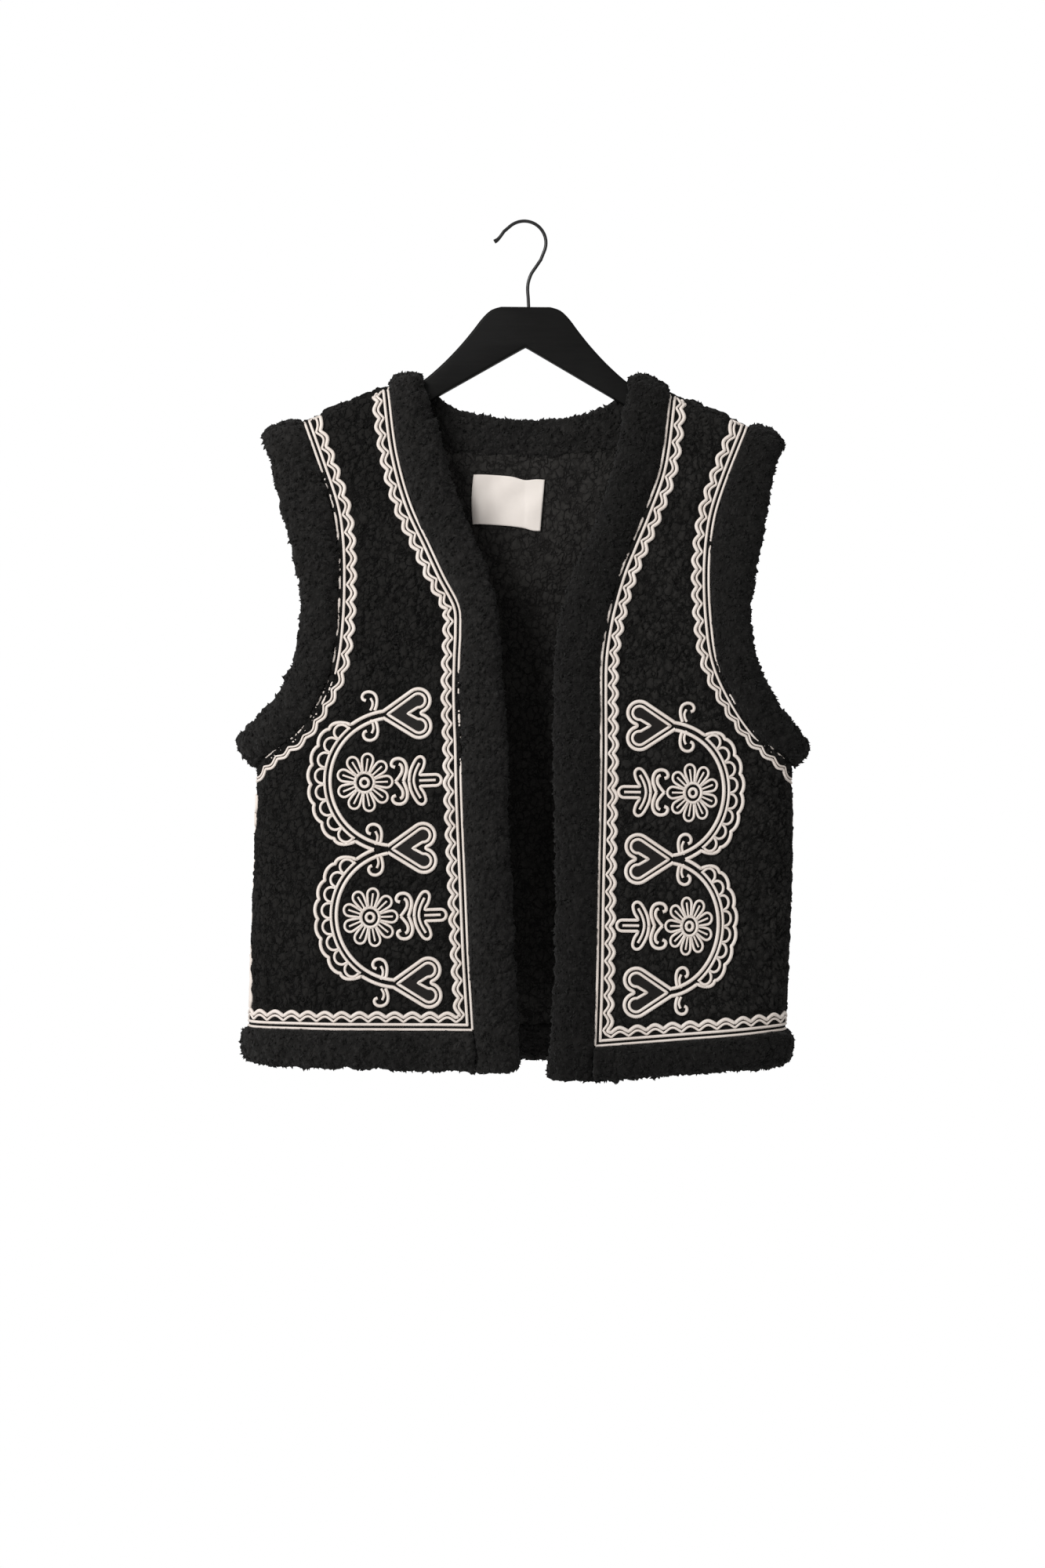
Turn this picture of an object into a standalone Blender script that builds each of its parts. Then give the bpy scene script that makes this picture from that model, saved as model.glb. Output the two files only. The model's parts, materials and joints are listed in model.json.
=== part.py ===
# A sleeveless open-front folk vest of thick black pile cloth, edged with puffy bands
# and cream corded borders, hanging on a flat wooden hanger with a wire hook.
# Metres, +Z up. The vest's front faces -Y, so +X is to the right of someone who looks at it.
# "left" and "right" mean as seen from the front. The origin is on the underside of the
# hook's crown, where a rail touches it, and every height in the tables is below that point.

from functools import lru_cache, partial
import math

import bmesh
import bpy
from mathutils import Matrix, Vector

MM = 0.001

# Driving sizes, in metres
CLOTH = 4.0 * MM  # the pile cloth's wall
SEAM_GAP = 0.3 * MM  # between pieces that are sewn together
BAND_BULGE = 7.5 * MM  # how far a puffy edge band stands out of the panels
NECK_BULGE = 1.5 * MM  # how much further it does round the neck
SHOULDER_DEPTH = 13.0 * MM  # centre plane to outer face, just under the shoulder ridge
SHOULDER_ROUND = 14.0 * MM  # height of the turn over the shoulder
FRONT_DEPTH = 40.0 * MM  # centre plane to outer face, low on the front
BACK_DEPTH = 36.0 * MM  # the same on the back
DEPTH_GROWS_OVER = 400.0 * MM  # height below the shoulder where the full depth is reached
FLAT_SHOULDER = 150.0 * MM  # the sides round away fully from this far below the shoulder
SECTION_POWER = 5.0  # how flat the front and back are across
SECTION_ROOT = 0.42  # how round they turn at the sides
NORMAL_STEP = 0.4 * MM

SIGN = {"left": -1, "right": 1}
FACE = {"front": -1, "back": 1}

# The shoulder ridge is a straight slope on each side: where it starts, its height and its fall
RIDGE = {
    "left": {"from": 126 * MM, "height": -150.5 * MM, "fall": 0.41},
    "right": {"from": 130 * MM, "height": -155.5 * MM, "fall": 0.42},
}

# One row for each section of a front, from the bottom edge up to the shoulder ridge, in mm.
# lip is the free edge of the front band, seam is where the band meets the panel, and outer is
# the side seam up to the underarm and then the armhole seam. x is from the centre line.
COLUMN = {"lip": 0, "seam": 2, "outer": 4}
ROWS = {
    "left": (
        # lip x, lip z, seam x, seam z, outer x, outer z
        (6.5, -754, 45, -757, 248, -751),  # bottom edge
        (8, -721, 46, -721, 247.5, -720),  # hem seam
        (10.5, -655, 50, -655, 245.5, -655),
        (13.5, -588, 53, -585, 242.5, -585),
        (16, -525, 56, -515, 241, -521),
        (17, -472, 57, -469, 240, -486.5),  # underarm
        (18.5, -446, 58, -444, 221.5, -470.5),
        (20.5, -420, 58.5, -420, 200.5, -455),
        (22.5, -392, 58, -392, 183, -427),
        (24, -367, 57, -367.5, 172.5, -399),
        (26.5, -343, 58.5, -345, 167.5, -357),  # the front edge turns to the neck
        (35, -315, 72, -318.5, 166.5, -315),
        (45, -289, 85, -290.5, 168, -283.5),
        (60.5, -252, 102.5, -252, 172.5, -255.5),
        (74, -205, 115, -205, 184.5, -219),
        (94, -137.5, 122, -149, 198.5, -180),  # shoulder ridge
    ),
    "right": (
        (20, -761, 59, -765, 233, -753),
        (22, -735, 60, -735, 232, -722.5),
        (26.5, -679, 62, -672, 233.5, -675.5),
        (27.5, -605.5, 63, -602, 236.5, -612.5),
        (26.5, -535.5, 64.5, -532, 238.5, -542.5),
        (25, -476, 65.5, -476, 237, -488),
        (25, -451.5, 65.5, -451.5, 219.5, -470.5),
        (25.5, -427, 65.5, -423.5, 202, -455),
        (26.5, -399, 66, -395.5, 184.5, -428.5),
        (27.5, -371, 69, -371, 170.5, -395.5),
        (32.5, -343, 74, -346.5, 165, -357),
        (43, -315, 82.5, -317, 163.5, -318.5),
        (53.5, -290.5, 93, -290.5, 165.5, -287),
        (67.5, -259, 106, -259, 170.5, -259),
        (80, -217, 120, -217, 182.5, -224),
        (94, -140.5, 128, -155, 198.5, -184),
    ),
}
BOTTOM, HEM, UNDERARM, RIDGE_ROW = 0, 1, 5, 15
BACK_BENDS_FROM = 9  # the row where the back's rows start to bend to the neck
NECK_FROM = 10  # the row where the front edges turn to the neck
FRONT_COLUMNS = 10
SHOULDER_COLUMNS = 4  # of the back, from the armhole to the neck's corner

# The free edge of each armhole band, a row for each row above from the underarm up, in mm
ARM_LIP = {
    "left": (
        # x, z, depth from the centre plane
        (256, -462, 15),
        (238, -441, 18),
        (221.5, -425.5, 23),
        (209.5, -402.5, 26),
        (202.5, -381.5, 27),
        (198, -350, 27),
        (202, -310, 26),
        (211, -280, 24),
        (219.5, -248.5, 20),
        (226.5, -220.5, 16),
        (234, -192, 12),
    ),
    "right": (
        (251, -465.5, 15),
        (237, -446, 18),
        (223, -430.5, 23),
        (210.5, -408, 26),
        (202, -383, 27),
        (198.5, -353.5, 27),
        (202, -318.5, 26),
        (209, -287, 24),
        (215.5, -254, 20),
        (221.5, -222.5, 16),
        (231.5, -199, 12),
    ),
}

# The back neck, from the left shoulder to the right: x, free edge z, seam x, seam z, in mm
BACK_NECK = (
    (-94, -137.5, -122, -149),
    (-86, -149, -117, -169),
    (-74, -162, -106, -184),
    (-56, -169, -86, -197),
    (-30, -173.5, -52, -205),
    (0, -175.5, -2, -208),
    (30, -175, 50, -206),
    (57, -171, 87, -199),
    (75, -163, 110, -186),
    (86, -150, 122, -172),
    (94, -140.5, 128, -155),
)

# Where on BACK_NECK the back's top row and the back neck's band have their points
NECK_STEPS = (0, 0.08, 0.3, 1, 2, 3, 4, 5, 6, 7, 8, 9, 9.7, 9.92, 10)

# Soft vertical waves in the hanging cloth, in mm: x where each starts, x at the hem,
# the height where it starts, its half width and how far it stands out (in, if negative)
WAVE_BOTTOM = -755  # in mm
WAVE_FULL_FROM = 1 / 1.6  # share of a wave's length below which it has its full height
WAVES = {
    "front": (
        (-150, -172, -470, 22, 3.5),
        (-196, -210, -440, 20, -3.0),
        (-84, -76, -560, 20, -2.0),
        (170, 186, -500, 24, 3.0),
        (205, 214, -470, 18, -2.5),
        (88, 80, -520, 24, 2.5),
        (40, 38, -400, 26, 5.0),
        (-34, -26, -420, 24, 2.0),
    ),
    "back": (
        (-120, -150, -330, 38, 4.0),
        (-40, -52, -380, 34, -2.0),
        (48, 60, -360, 36, 3.5),
        (130, 148, -400, 38, -2.5),
    ),
}

# Rounded section of an edge band, from its seam (0) across to its free edge (1), and how far
# out of the panels' outer face, as a share of the bulge (and of the wall where negative)
BAND_PROFILE = (
    (0.00, 0.10),
    (0.13, 0.72),
    (0.48, 1.00),
    (0.85, 0.72),
    (1.00, 0.00),
    (0.95, -0.85),
    (0.50, -1.00),
    (0.00, -1.00),
)

# Corded borders: a strip whose inner edge waves
BRAID_FROM = 1.2 * MM  # off the seam
BRAID_MEAN = 14.5 * MM  # the waving edge's mean distance off the seam
BRAID_SWING = 3.2 * MM
BRAID_PITCH = 16.0 * MM
BRAID_CORNER = BRAID_MEAN + BRAID_SWING + 1.5 * MM  # what a border leaves free for the one it meets
BRAID_END = 3.0 * MM  # off the side seam
SIDE_BORDER_BACK = 6.0 * MM  # how far the side's border sits behind the line where front meets back
BRAID_TOP = RIDGE_ROW - 0.012
HEM_BORDER_TURN = 82  # degrees round the back's section, each way
UNDERARM_DROP = 5.0 * MM  # how far the armhole's border dips below the seam under the arm
UNDERARM_DROP_OVER = 30 * MM
TRIM_CLEAR = 0.85 * MM  # off the cloth
TRIM_CLEAR_TURNED = 1.35 * MM  # at the edges of a border that the cloth curves across
TRIM_CLEAR_SIDE = 2.2 * MM  # where it turns most, under the arm and at the side seam
RIDGE_CLEAR = 0.8 * MM  # trims end this far below the ridge
TRIM_RISE = 1.8 * MM  # thickness of the cords

# The embroidered sprays: where the middle heart's tip sits, how far each side leans out, how tall it is
# and how wide its outer part is at the middle of the upper and of the lower vine
SPRAY = {
    "left": {"girth": 119.8 * MM, "height": -560.5 * MM, "lean": 2.1, "rise": 0.9875, "outward": (1.0, 0.975)},
    "right": {"girth": 128.6 * MM, "height": -569.5 * MM, "lean": 0.7, "rise": 0.977, "outward": (0.9, 0.83)},
}
VINES_APART = 118.5 * MM
PLATE_INNER_RING = 0.45  # share of a motif's outline
HEART_SPACING = 120.5 * MM
HEART_LOBE_AT = Vector((30 * MM, 11.5 * MM))
HEART_LOBE_RADIUS = 12.0 * MM
HEART_BAND = 7.0 * MM  # width of the ring that the heart's two cords make
HEART_INNER_TIP = 9.1 * MM
HEART_NOTCH = {"outer": -0.3, "inner": -2.0}  # angle on a lobe's circle where its outline reaches the notch
VINE_CENTRE = Vector((6 * MM, 60 * MM))
VINE_REACH = 59 * MM
VINE_RISE = 54.5 * MM
VINE_BAND = 8.0 * MM
SCALLOP_COUNT = 8
VINE_FROM = 98  # degrees round the vine's ellipse where it starts
SCALLOP_FROM, SCALLOP_TO = 128, 232
SCALLOP_OUT = 15.5 * MM
SCALLOP_SWING = 2.4 * MM
DAISY_AT = Vector((-20.5 * MM, 60 * MM))
DAISY_PETALS = 9
DAISY_RADIUS = 25.0 * MM
DAISY_SWING = 3.0 * MM
DAISY_TALL = 1.05
SCROLL_AT = Vector((15 * MM, 60 * MM))
# Half of the scroll's and the tulip's outlines, in mm from their middles; the other half mirrors it
SCROLL_LOBES = ((-7, 0), (-5.5, 9), (-8, 17), (-1.5, 22), (5.5, 15), (3.5, 6), (3, 0))
TULIP_AT = Vector((26 * MM, 60 * MM))
TULIP_LOBES = ((-7, 0), (-5, 13), (6, 22), (11, 20), (5, 6), (17.5, 5), (20.5, 0))

# The hanger and its hook; the hanger's outline is given as its right half, in mm
HANGER_THICKNESS = 12.0 * MM
HANGER_EDGE_ROUND = 2.5 * MM
HANGER_TILT = 0.5  # degrees, lower on the right
HANGER_TOP = ((0, -76), (22, -76), (31, -79), (39, -86.5), (47, -97), (58, -110.5), (72, -125.5),
              (88, -140), (98, -146.5), (110, -153), (130, -161.6), (170, -178), (204, -191.9), (211, -196))
HANGER_UNDER = ((213, -201), (210, -206.5), (204, -208), (150, -189.5), (104, -171), (76, -155.5),
                (3, -113.5), (0, -112))
HOOK_RADIUS = 1.5 * MM
HOOK_LOOP = 19.5 * MM  # to the wire's centre line
HOOK_CENTRE = Vector((-1.5 * MM, HOOK_RADIUS - HOOK_LOOP))  # so that the crown's underside is at the origin
HOOK_LOOP_TURN = (-24, 129.6)  # degrees
HOOK_NECK = ((2.1, -67), (1.6, -60), (2.2, -53.5), (4.8, -46), (9.2, -39.4), (13.4, -33.2))  # x, z in mm
HOOK_TIP = ((-19.6, -7.8), (-22.6, -12.0), (-25.2, -15.0), (-28.2, -17.0))
HOOK_TIP_RADIUS = 1.35  # share of the wire's
HOOK_STEM_X = 2.5 * MM
HOOK_HOLE_DEPTH = 26 * MM
HOOK_HOLE_RADIUS = HOOK_RADIUS + SEAM_GAP

# The blank neck label
LABEL_WIDTH = 63 * MM
LABEL_HEIGHT = 50 * MM
LABEL_THICKNESS = 0.8 * MM
LABEL_CENTRE = Vector((-15.5 * MM, -249 * MM))
LABEL_TURN = -3.0  # degrees


def smooth_step(t):
    t = max(0.0, min(1.0, t))
    return t * t * (3 - 2 * t)


def spline(values, position):
    """A Catmull-Rom curve through rows of numbers, at a fractional row."""
    last = len(values) - 1
    i = max(0, min(last - 1, int(math.floor(position))))
    t = position - i
    p0, p1, p2, p3 = (values[max(0, min(last, k))] for k in (i - 1, i, i + 1, i + 2))
    return [
        0.5 * (2 * b + (c - a) * t + (2 * a - 5 * b + 4 * c - d) * t * t + (3 * b - a - 3 * c + d) * t**3)
        for a, b, c, d in zip(p0, p1, p2, p3)
    ]


def side_of(x):
    return "left" if x < 0 else "right"


def ridge_height(x):
    ridge = RIDGE[side_of(x)]
    return ridge["height"] - ridge["fall"] * (abs(x) - ridge["from"])


@lru_cache(maxsize=None)
def seam_table(side):
    """Side seam half widths, from the bottom edge to the underarm."""
    return [(row[5] * MM, row[4] * MM) for row in ROWS[side][: UNDERARM + 1]]


def half_width(side, z):
    """Distance from the centre line to the side seam; above the underarm it stays the same."""
    table = seam_table(side)
    if z >= table[-1][0]:
        return table[-1][1]
    for (z0, w0), (z1, w1) in zip(table, table[1:]):
        if z <= z1:
            return w0 + (w1 - w0) * (z - z0) / (z1 - z0)


def wave_height(x, z, face):
    total = 0.0
    for start_x, hem_x, start_z, width, height in WAVES[face]:
        down = max(0.0, (start_z * MM - z) / ((start_z - WAVE_BOTTOM) * MM))
        centre = (start_x + (hem_x - start_x) * down) * MM
        share = math.exp(-(((x - centre) / (width * MM)) ** 2))
        total += height * MM * smooth_step(down / WAVE_FULL_FROM) * share
    return total


def depth(x, z, face):
    """How far the cloth's outer face is from the centre plane."""
    below_ridge = ridge_height(x) - z
    if below_ridge <= 0:
        return 0.0
    across = min(1.0, abs(x) / half_width(side_of(x), z))
    section = (1 - across**SECTION_POWER) ** SECTION_ROOT
    section = 1 - (1 - section) * smooth_step(below_ridge / FLAT_SHOULDER)
    full = FRONT_DEPTH if face == "front" else BACK_DEPTH
    hung = SHOULDER_DEPTH + (full - SHOULDER_DEPTH) * smooth_step(below_ridge / DEPTH_GROWS_OVER)
    turn = 1 - min(1.0, below_ridge / SHOULDER_ROUND)
    return (hung + wave_height(x, z, face)) * section * math.sqrt(max(0.0, 1 - turn * turn))


def skin_normal(x, z, face):
    toward_side = -1 if x < 0 else 1
    here = depth(x, z, face)
    slope_x = (here - depth(x - toward_side * NORMAL_STEP, z, face)) / NORMAL_STEP * toward_side
    slope_z = (here - depth(x, z - NORMAL_STEP, face)) / NORMAL_STEP
    return Vector((-slope_x, FACE[face], -slope_z)).normalized()


def on_skin(x, z, face, out=0.0, level=False):
    """A point of the cloth's outer face, moved out along its normal (or straight sideways from it, where
    level is true); it stays on its own side of the seam plane."""
    normal = skin_normal(x, z, face)
    if level:
        normal = Vector((normal.x, normal.y, 0)).normalized()
    point = Vector((x, FACE[face] * depth(x, z, face), z)) + normal * out
    if point.y * FACE[face] < SEAM_GAP / 2:
        point.y = FACE[face] * SEAM_GAP / 2
    return point


def row_point(side, column, position):
    """x and z of a column of ROWS at a fractional row, with x signed."""
    first = COLUMN[column]
    x, z = spline([row[first : first + 2] for row in ROWS[side]], position)
    if column == "outer" and position < UNDERARM:
        x = half_width(side, z * MM) / MM
    if position == RIDGE_ROW:
        z = ridge_height(SIGN[side] * x * MM) / MM
    return SIGN[side] * x * MM, z * MM


def row_stations(first, last):
    """Every row from first to last, and rows between them where the cloth turns most."""
    underarm = [UNDERARM + up for up in (0.07, 0.22, 0.5, 1.5, 2.5, 3.5)]
    ridge = [RIDGE_ROW - down for down in (0.65, 0.28, 0.16, 0.08, 0.033, 0.008)]
    return sorted(s for s in [*range(RIDGE_ROW + 1), *underarm, *ridge] if first <= s <= last)


def front_row(side, position, columns=FRONT_COLUMNS):
    """Points of a front's row from the band seam to the outer seam, as x and z.
    They are spaced by angle, so that they draw together where the side turns."""
    x0, z0 = row_point(side, "seam", position)
    x1, z1 = row_point(side, "outer", position)
    reach = half_width(side, z1)
    a0 = math.asin(abs(x0) / reach)
    a1 = math.pi / 2 if position <= UNDERARM else math.asin(abs(x1) / reach)
    points = []
    for k in range(columns + 1):
        x = SIGN[side] * reach * math.sin(a0 + (a1 - a0) * k / columns)
        z = z0 + (z1 - z0) * (x - x0) / (x1 - x0)
        points.append((x, z))
    return points


def material(name, colour, roughness, metallic=0.0):
    made = bpy.data.materials.new(name)
    made.use_nodes = True
    shader = made.node_tree.nodes["Principled BSDF"]
    shader.inputs["Base Color"].default_value = (*colour, 1.0)
    shader.inputs["Roughness"].default_value = roughness
    shader.inputs["Metallic"].default_value = metallic
    return made


def add_object(name, bm, finish, sharp=50):
    mesh = bpy.data.meshes.new(name)
    bm.to_mesh(mesh)
    bm.free()
    mesh.materials.append(finish)
    mesh.shade_smooth()
    mesh.set_sharp_from_angle(angle=math.radians(sharp))
    made = bpy.data.objects.new(name, mesh)
    bpy.context.scene.collection.objects.link(made)
    return made


def loft(name, rings, finish, closed=False, strip_caps=False):
    """A solid through rings of equal length. An open one is capped, with a strip of quads
    between a flat ring's two long sides or with a fan."""
    bm = bmesh.new()
    loops = [[bm.verts.new(point) for point in ring] for ring in rings]
    count = len(rings[0])
    pairs = list(zip(loops, loops[1:]))
    if closed:
        pairs.append((loops[-1], loops[0]))
    for a, b in pairs:
        for k in range(count):
            n = (k + 1) % count
            bm.faces.new((a[k], a[n], b[n], b[k]))
    if not closed:
        for loop in (loops[0], loops[-1]):
            if strip_caps:
                half = count // 2
                for k in range(half - 1):
                    bm.faces.new((loop[k], loop[k + 1], loop[count - 2 - k], loop[count - 1 - k]))
            else:
                bm.faces.new(loop)
    bmesh.ops.recalc_face_normals(bm, faces=bm.faces)
    return add_object(name, bm, finish)


def cloth_ring(points, face, level=False):
    """One row of a cloth wall: its outer face across, then its inner face back."""
    outer = [on_skin(x, z, face) for x, z in points]
    inner = [on_skin(x, z, face, -CLOTH, level) for x, z in points]
    return outer + inner[::-1]


def front_panel(side, finish):
    rings = [cloth_ring(front_row(side, p), "front", p == HEM) for p in row_stations(HEM, RIDGE_ROW)]
    return loft(f"front_{side}", rings, finish, strip_caps=True)


def back_neck_point(step):
    """The back neck's free edge and its seam, each as x and z, at a fractional row of BACK_NECK."""
    lip_x, lip_z, seam_x, seam_z = (v * MM for v in spline(BACK_NECK, step))
    if step in (0, len(BACK_NECK) - 1):
        lip_z, seam_z = ridge_height(lip_x), ridge_height(seam_x)
    return (lip_x, lip_z), (seam_x, seam_z)


@lru_cache(maxsize=None)
def back_top_row():
    """The back's top edge: along one shoulder ridge, round the neck seam and along the other ridge."""
    neck = [back_neck_point(step)[1] for step in NECK_STEPS]
    row = []
    for side, corner in (("left", neck[0]), ("right", neck[-1])):
        end_x = row_point(side, "outer", RIDGE_ROW)[0]
        xs = [end_x + (corner[0] - end_x) * k / SHOULDER_COLUMNS for k in range(SHOULDER_COLUMNS)]
        shoulder = [(x, ridge_height(x)) for x in xs]
        row = shoulder + neck if side == "left" else row + shoulder[::-1]
    return row


@lru_cache(maxsize=None)
def level_row(position):
    """A row straight across the back, spaced by angle, so that it draws together where the sides turn."""
    ends = {side: row_point(side, "outer", position) for side in SIGN}
    angles = {}
    for side, (x, z) in ends.items():
        turn = math.pi / 2 if position <= UNDERARM else math.asin(abs(x) / half_width(side, z))
        angles[side] = SIGN[side] * turn
    columns = len(back_top_row()) - 1
    row = []
    for k in range(columns + 1):
        share = k / columns
        angle = angles["left"] + (angles["right"] - angles["left"]) * share
        z = ends["left"][1] + (ends["right"][1] - ends["left"][1]) * share
        row.append((half_width("left" if angle < 0 else "right", z) * math.sin(angle), z))
    return row


def back_row(position):
    """A row of the back from side to side: level below, bent towards the top edge above the underarm."""
    rise = smooth_step((position - BACK_BENDS_FROM) / (RIDGE_ROW - BACK_BENDS_FROM))
    row = []
    top = zip(level_row(RIDGE_ROW), back_top_row())
    for (x, z), ((x_level, z_level), (x_top, z_top)) in zip(level_row(position), top):
        row.append((x + (x_top - x_level) * rise, z + (z_top - z_level) * rise))
    return row


def back_panel(finish):
    rings = [cloth_ring(back_row(p), "back", p == HEM) for p in row_stations(HEM, RIDGE_ROW)]
    return loft("back", rings, finish, strip_caps=True)


def band_section(seam_point, lip_point, normal):
    """The ring of an edge band across a straight gap between its seam and its free edge."""
    across = lip_point - seam_point
    start = SEAM_GAP / across.length
    ring = []
    for share, out in BAND_PROFILE:
        height = out * (BAND_BULGE if out > 0 else CLOTH)
        ring.append(seam_point + across * (start + (1 - start) * share) + normal * height)
    return ring


def skin_band_ring(seam, lip, face, bulge=BAND_BULGE, level=False, gap=SEAM_GAP):
    """The ring of an edge band that follows the skin between two places on it, each an x and z."""
    start = gap / (Vector(lip) - Vector(seam)).length
    ring = []
    for share, out in BAND_PROFILE:
        along = start + (1 - start) * share
        x = seam[0] + (lip[0] - seam[0]) * along
        z = seam[1] + (lip[1] - seam[1]) * along
        height = out * (bulge if out > 0 else CLOTH)
        ring.append(on_skin(x, z, face, height, level and share == 0))
    return ring


def front_band(side, finish):
    """The puffy band up the front edge and the neck, to the shoulder ridge."""
    rings = []
    for position in row_stations(BOTTOM, RIDGE_ROW):
        seam, lip = row_point(side, "seam", position), row_point(side, "lip", position)
        bulge = BAND_BULGE + NECK_BULGE * smooth_step((position - NECK_FROM) / (RIDGE_ROW - NECK_FROM))
        rings.append(skin_band_ring(seam, lip, "front", bulge))
    return loft(f"front_band_{side}", rings, finish)


def back_neck_band(finish):
    """The puffy band round the back of the neck, from ridge to ridge."""
    rings = []
    for step in NECK_STEPS:
        lip, seam = back_neck_point(step)
        rings.append(skin_band_ring(seam, lip, "back", BAND_BULGE + NECK_BULGE, gap=2 * SEAM_GAP))
    return loft("back_neck_band", rings, finish)


def hem_band(name, seam_row, bottom_row, face, finish):
    rings = [skin_band_ring(seam, bottom, face, level=True) for seam, bottom in zip(seam_row, bottom_row)]
    return loft(name, rings, finish)


def hem_bands(finish):
    """The puffy bands below the hem seam, one to a panel."""
    for side in SIGN:
        rows = [front_row(side, HEM), front_row(side, BOTTOM)]
        for row in rows:
            row[0] = (row[0][0] + SIGN[side] * SEAM_GAP, row[0][1])
        hem_band(f"hem_band_front_{side}", *rows, "front", finish)
    hem_band("hem_band_back", back_row(HEM), back_row(BOTTOM), "back", finish)


def armhole_lip(side, face, position):
    """The free edge of an armhole band: rounded over the shoulder and closed below the arm."""
    x, z, deep = spline(ARM_LIP[side], position - UNDERARM)
    below_ridge = (ARM_LIP[side][-1][1] - z) * MM
    turn = 1 - min(1.0, max(0.0, below_ridge / SHOULDER_ROUND))
    opened = min(1.0, math.sqrt(position - UNDERARM))
    y = FACE[face] * deep * MM * math.sqrt(1 - turn * turn) * opened
    return Vector((SIGN[side] * x * MM, y, z * MM))


def armhole_band(side, finish):
    """The puffy band round an armhole: up the front, over the shoulder and down the back."""
    up = row_stations(UNDERARM, RIDGE_ROW)
    walk = [("front", p) for p in up] + [("back", p) for p in up[-2:0:-1]]
    seams = [on_skin(*row_point(side, "outer", p), face) for face, p in walk]
    lips = [armhole_lip(side, face, p) for face, p in walk]
    for k, (face, p) in enumerate(walk):
        if p in (UNDERARM, RIDGE_ROW):
            seams[k].y = lips[k].y = 0.0
    middles = [(a + b) / 2 for a, b in zip(seams, lips)]
    rings = []
    for k in range(len(walk)):
        along = middles[(k + 1) % len(walk)] - middles[k - 1]
        normal = along.cross(lips[k] - seams[k]) * -SIGN[side]
        rings.append(band_section(seams[k], lips[k], normal.normalized()))
    return loft(f"armhole_band_{side}", rings, finish, closed=True)


@lru_cache(maxsize=None)
def girth_table(side, level):
    """Places round one section from the centre front past the side seam to the centre back,
    as (distance walked, x, face), at a height in whole millimetres."""
    z = level * MM
    reach = half_width(side, z)
    steps = 40
    table = []
    walked = 0.0
    before = None
    walk = [("front", k) for k in range(steps + 1)] + [("back", k) for k in range(steps, -1, -1)]
    for face, k in walk:
        x = SIGN[side] * reach * math.sin(math.pi / 2 * k / steps)
        here = Vector((x, FACE[face] * depth(x, z, face)))
        walked += (here - (before or here)).length
        table.append((walked, x, face))
        before = here
    return table


def from_girth(side, girth, z):
    """x and face of the place that far round the section from the centre front."""
    table = girth_table(side, round(z / MM))
    for (g0, x0, _), (g1, x1, face) in zip(table, table[1:]):
        if girth <= g1:
            return x0 + (x1 - x0) * (girth - g0) / max(g1 - g0, 1e-9), face
    return table[-1][1:]


def to_girth(side, x, z, face):
    """How far round the section from the centre front a place is."""
    table = [row for row in girth_table(side, round(z / MM)) if row[2] == face]
    if face == "back":
        table = table[::-1]
    for (g0, x0, _), (g1, x1, _) in zip(table, table[1:]):
        if abs(x) <= abs(x1):
            return g0 + (g1 - g0) * (abs(x) - abs(x0)) / max(abs(x1) - abs(x0), 1e-9)
    return table[-1][0]


def on_cloth(side, place, out):
    """The point over a place on the unrolled cloth of one side, given as (girth, height)."""
    girth, z = place
    x, face = from_girth(side, girth, z)
    return on_skin(x, min(z, ridge_height(x) - RIDGE_CLEAR), face, out)


def on_back(place, out):
    """The point over a place on the back, given as (x, height)."""
    x, z = place
    return on_skin(x, min(z, ridge_height(x) - RIDGE_CLEAR), "back", out)


def evenly(route, lay, spacing):
    """The route again, as places an even distance apart along the cloth that lay puts them on."""
    points = [lay(place, 0.0) for place in route]
    walked = [0.0]
    for a, b in zip(points, points[1:]):
        walked.append(walked[-1] + (b - a).length)
    count = max(2, round(walked[-1] / spacing))
    places = []
    k = 0
    for n in range(count + 1):
        target = walked[-1] * n / count
        while k < len(route) - 2 and walked[k + 1] < target:
            k += 1
        share = (target - walked[k]) / max(walked[k + 1] - walked[k], 1e-9)
        places.append(route[k].lerp(route[k + 1], min(1.0, share)))
    return places


def strip(name, lay, edges, finish, closed=False, clear=TRIM_CLEAR):
    """A raised strip between two edges of places on the cloth."""
    high = clear + TRIM_RISE
    rings = [[lay(a, clear), lay(b, clear), lay(b, high), lay(a, high)] for a, b in edges]
    return loft(name, rings, finish, closed=closed)


def braid(name, lay, route, finish, turn, clear=TRIM_CLEAR):
    """A corded border beside a seam; its far edge waves, and turn is 1 if it lies left of the way walked."""
    places = evenly(route, lay, BRAID_PITCH / 2)
    edges = []
    for n, place in enumerate(places):
        along = (places[min(n + 1, len(places) - 1)] - places[max(n - 1, 0)]).normalized()
        aside = Vector((-along.y, along.x)) * turn
        wave = BRAID_SWING * (1 if n % 2 else -1)
        edges.append((place + aside * BRAID_FROM, place + aside * (BRAID_MEAN + wave)))
    strip(name, lay, edges, finish, clear=clear)


def seam_place(side, column, position, face="front"):
    x, z = row_point(side, column, position)
    return Vector((to_girth(side, x, z, face), z))


def between(first, last, count):
    return [first + (last - first) * k / count for k in range(count + 1)]


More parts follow.
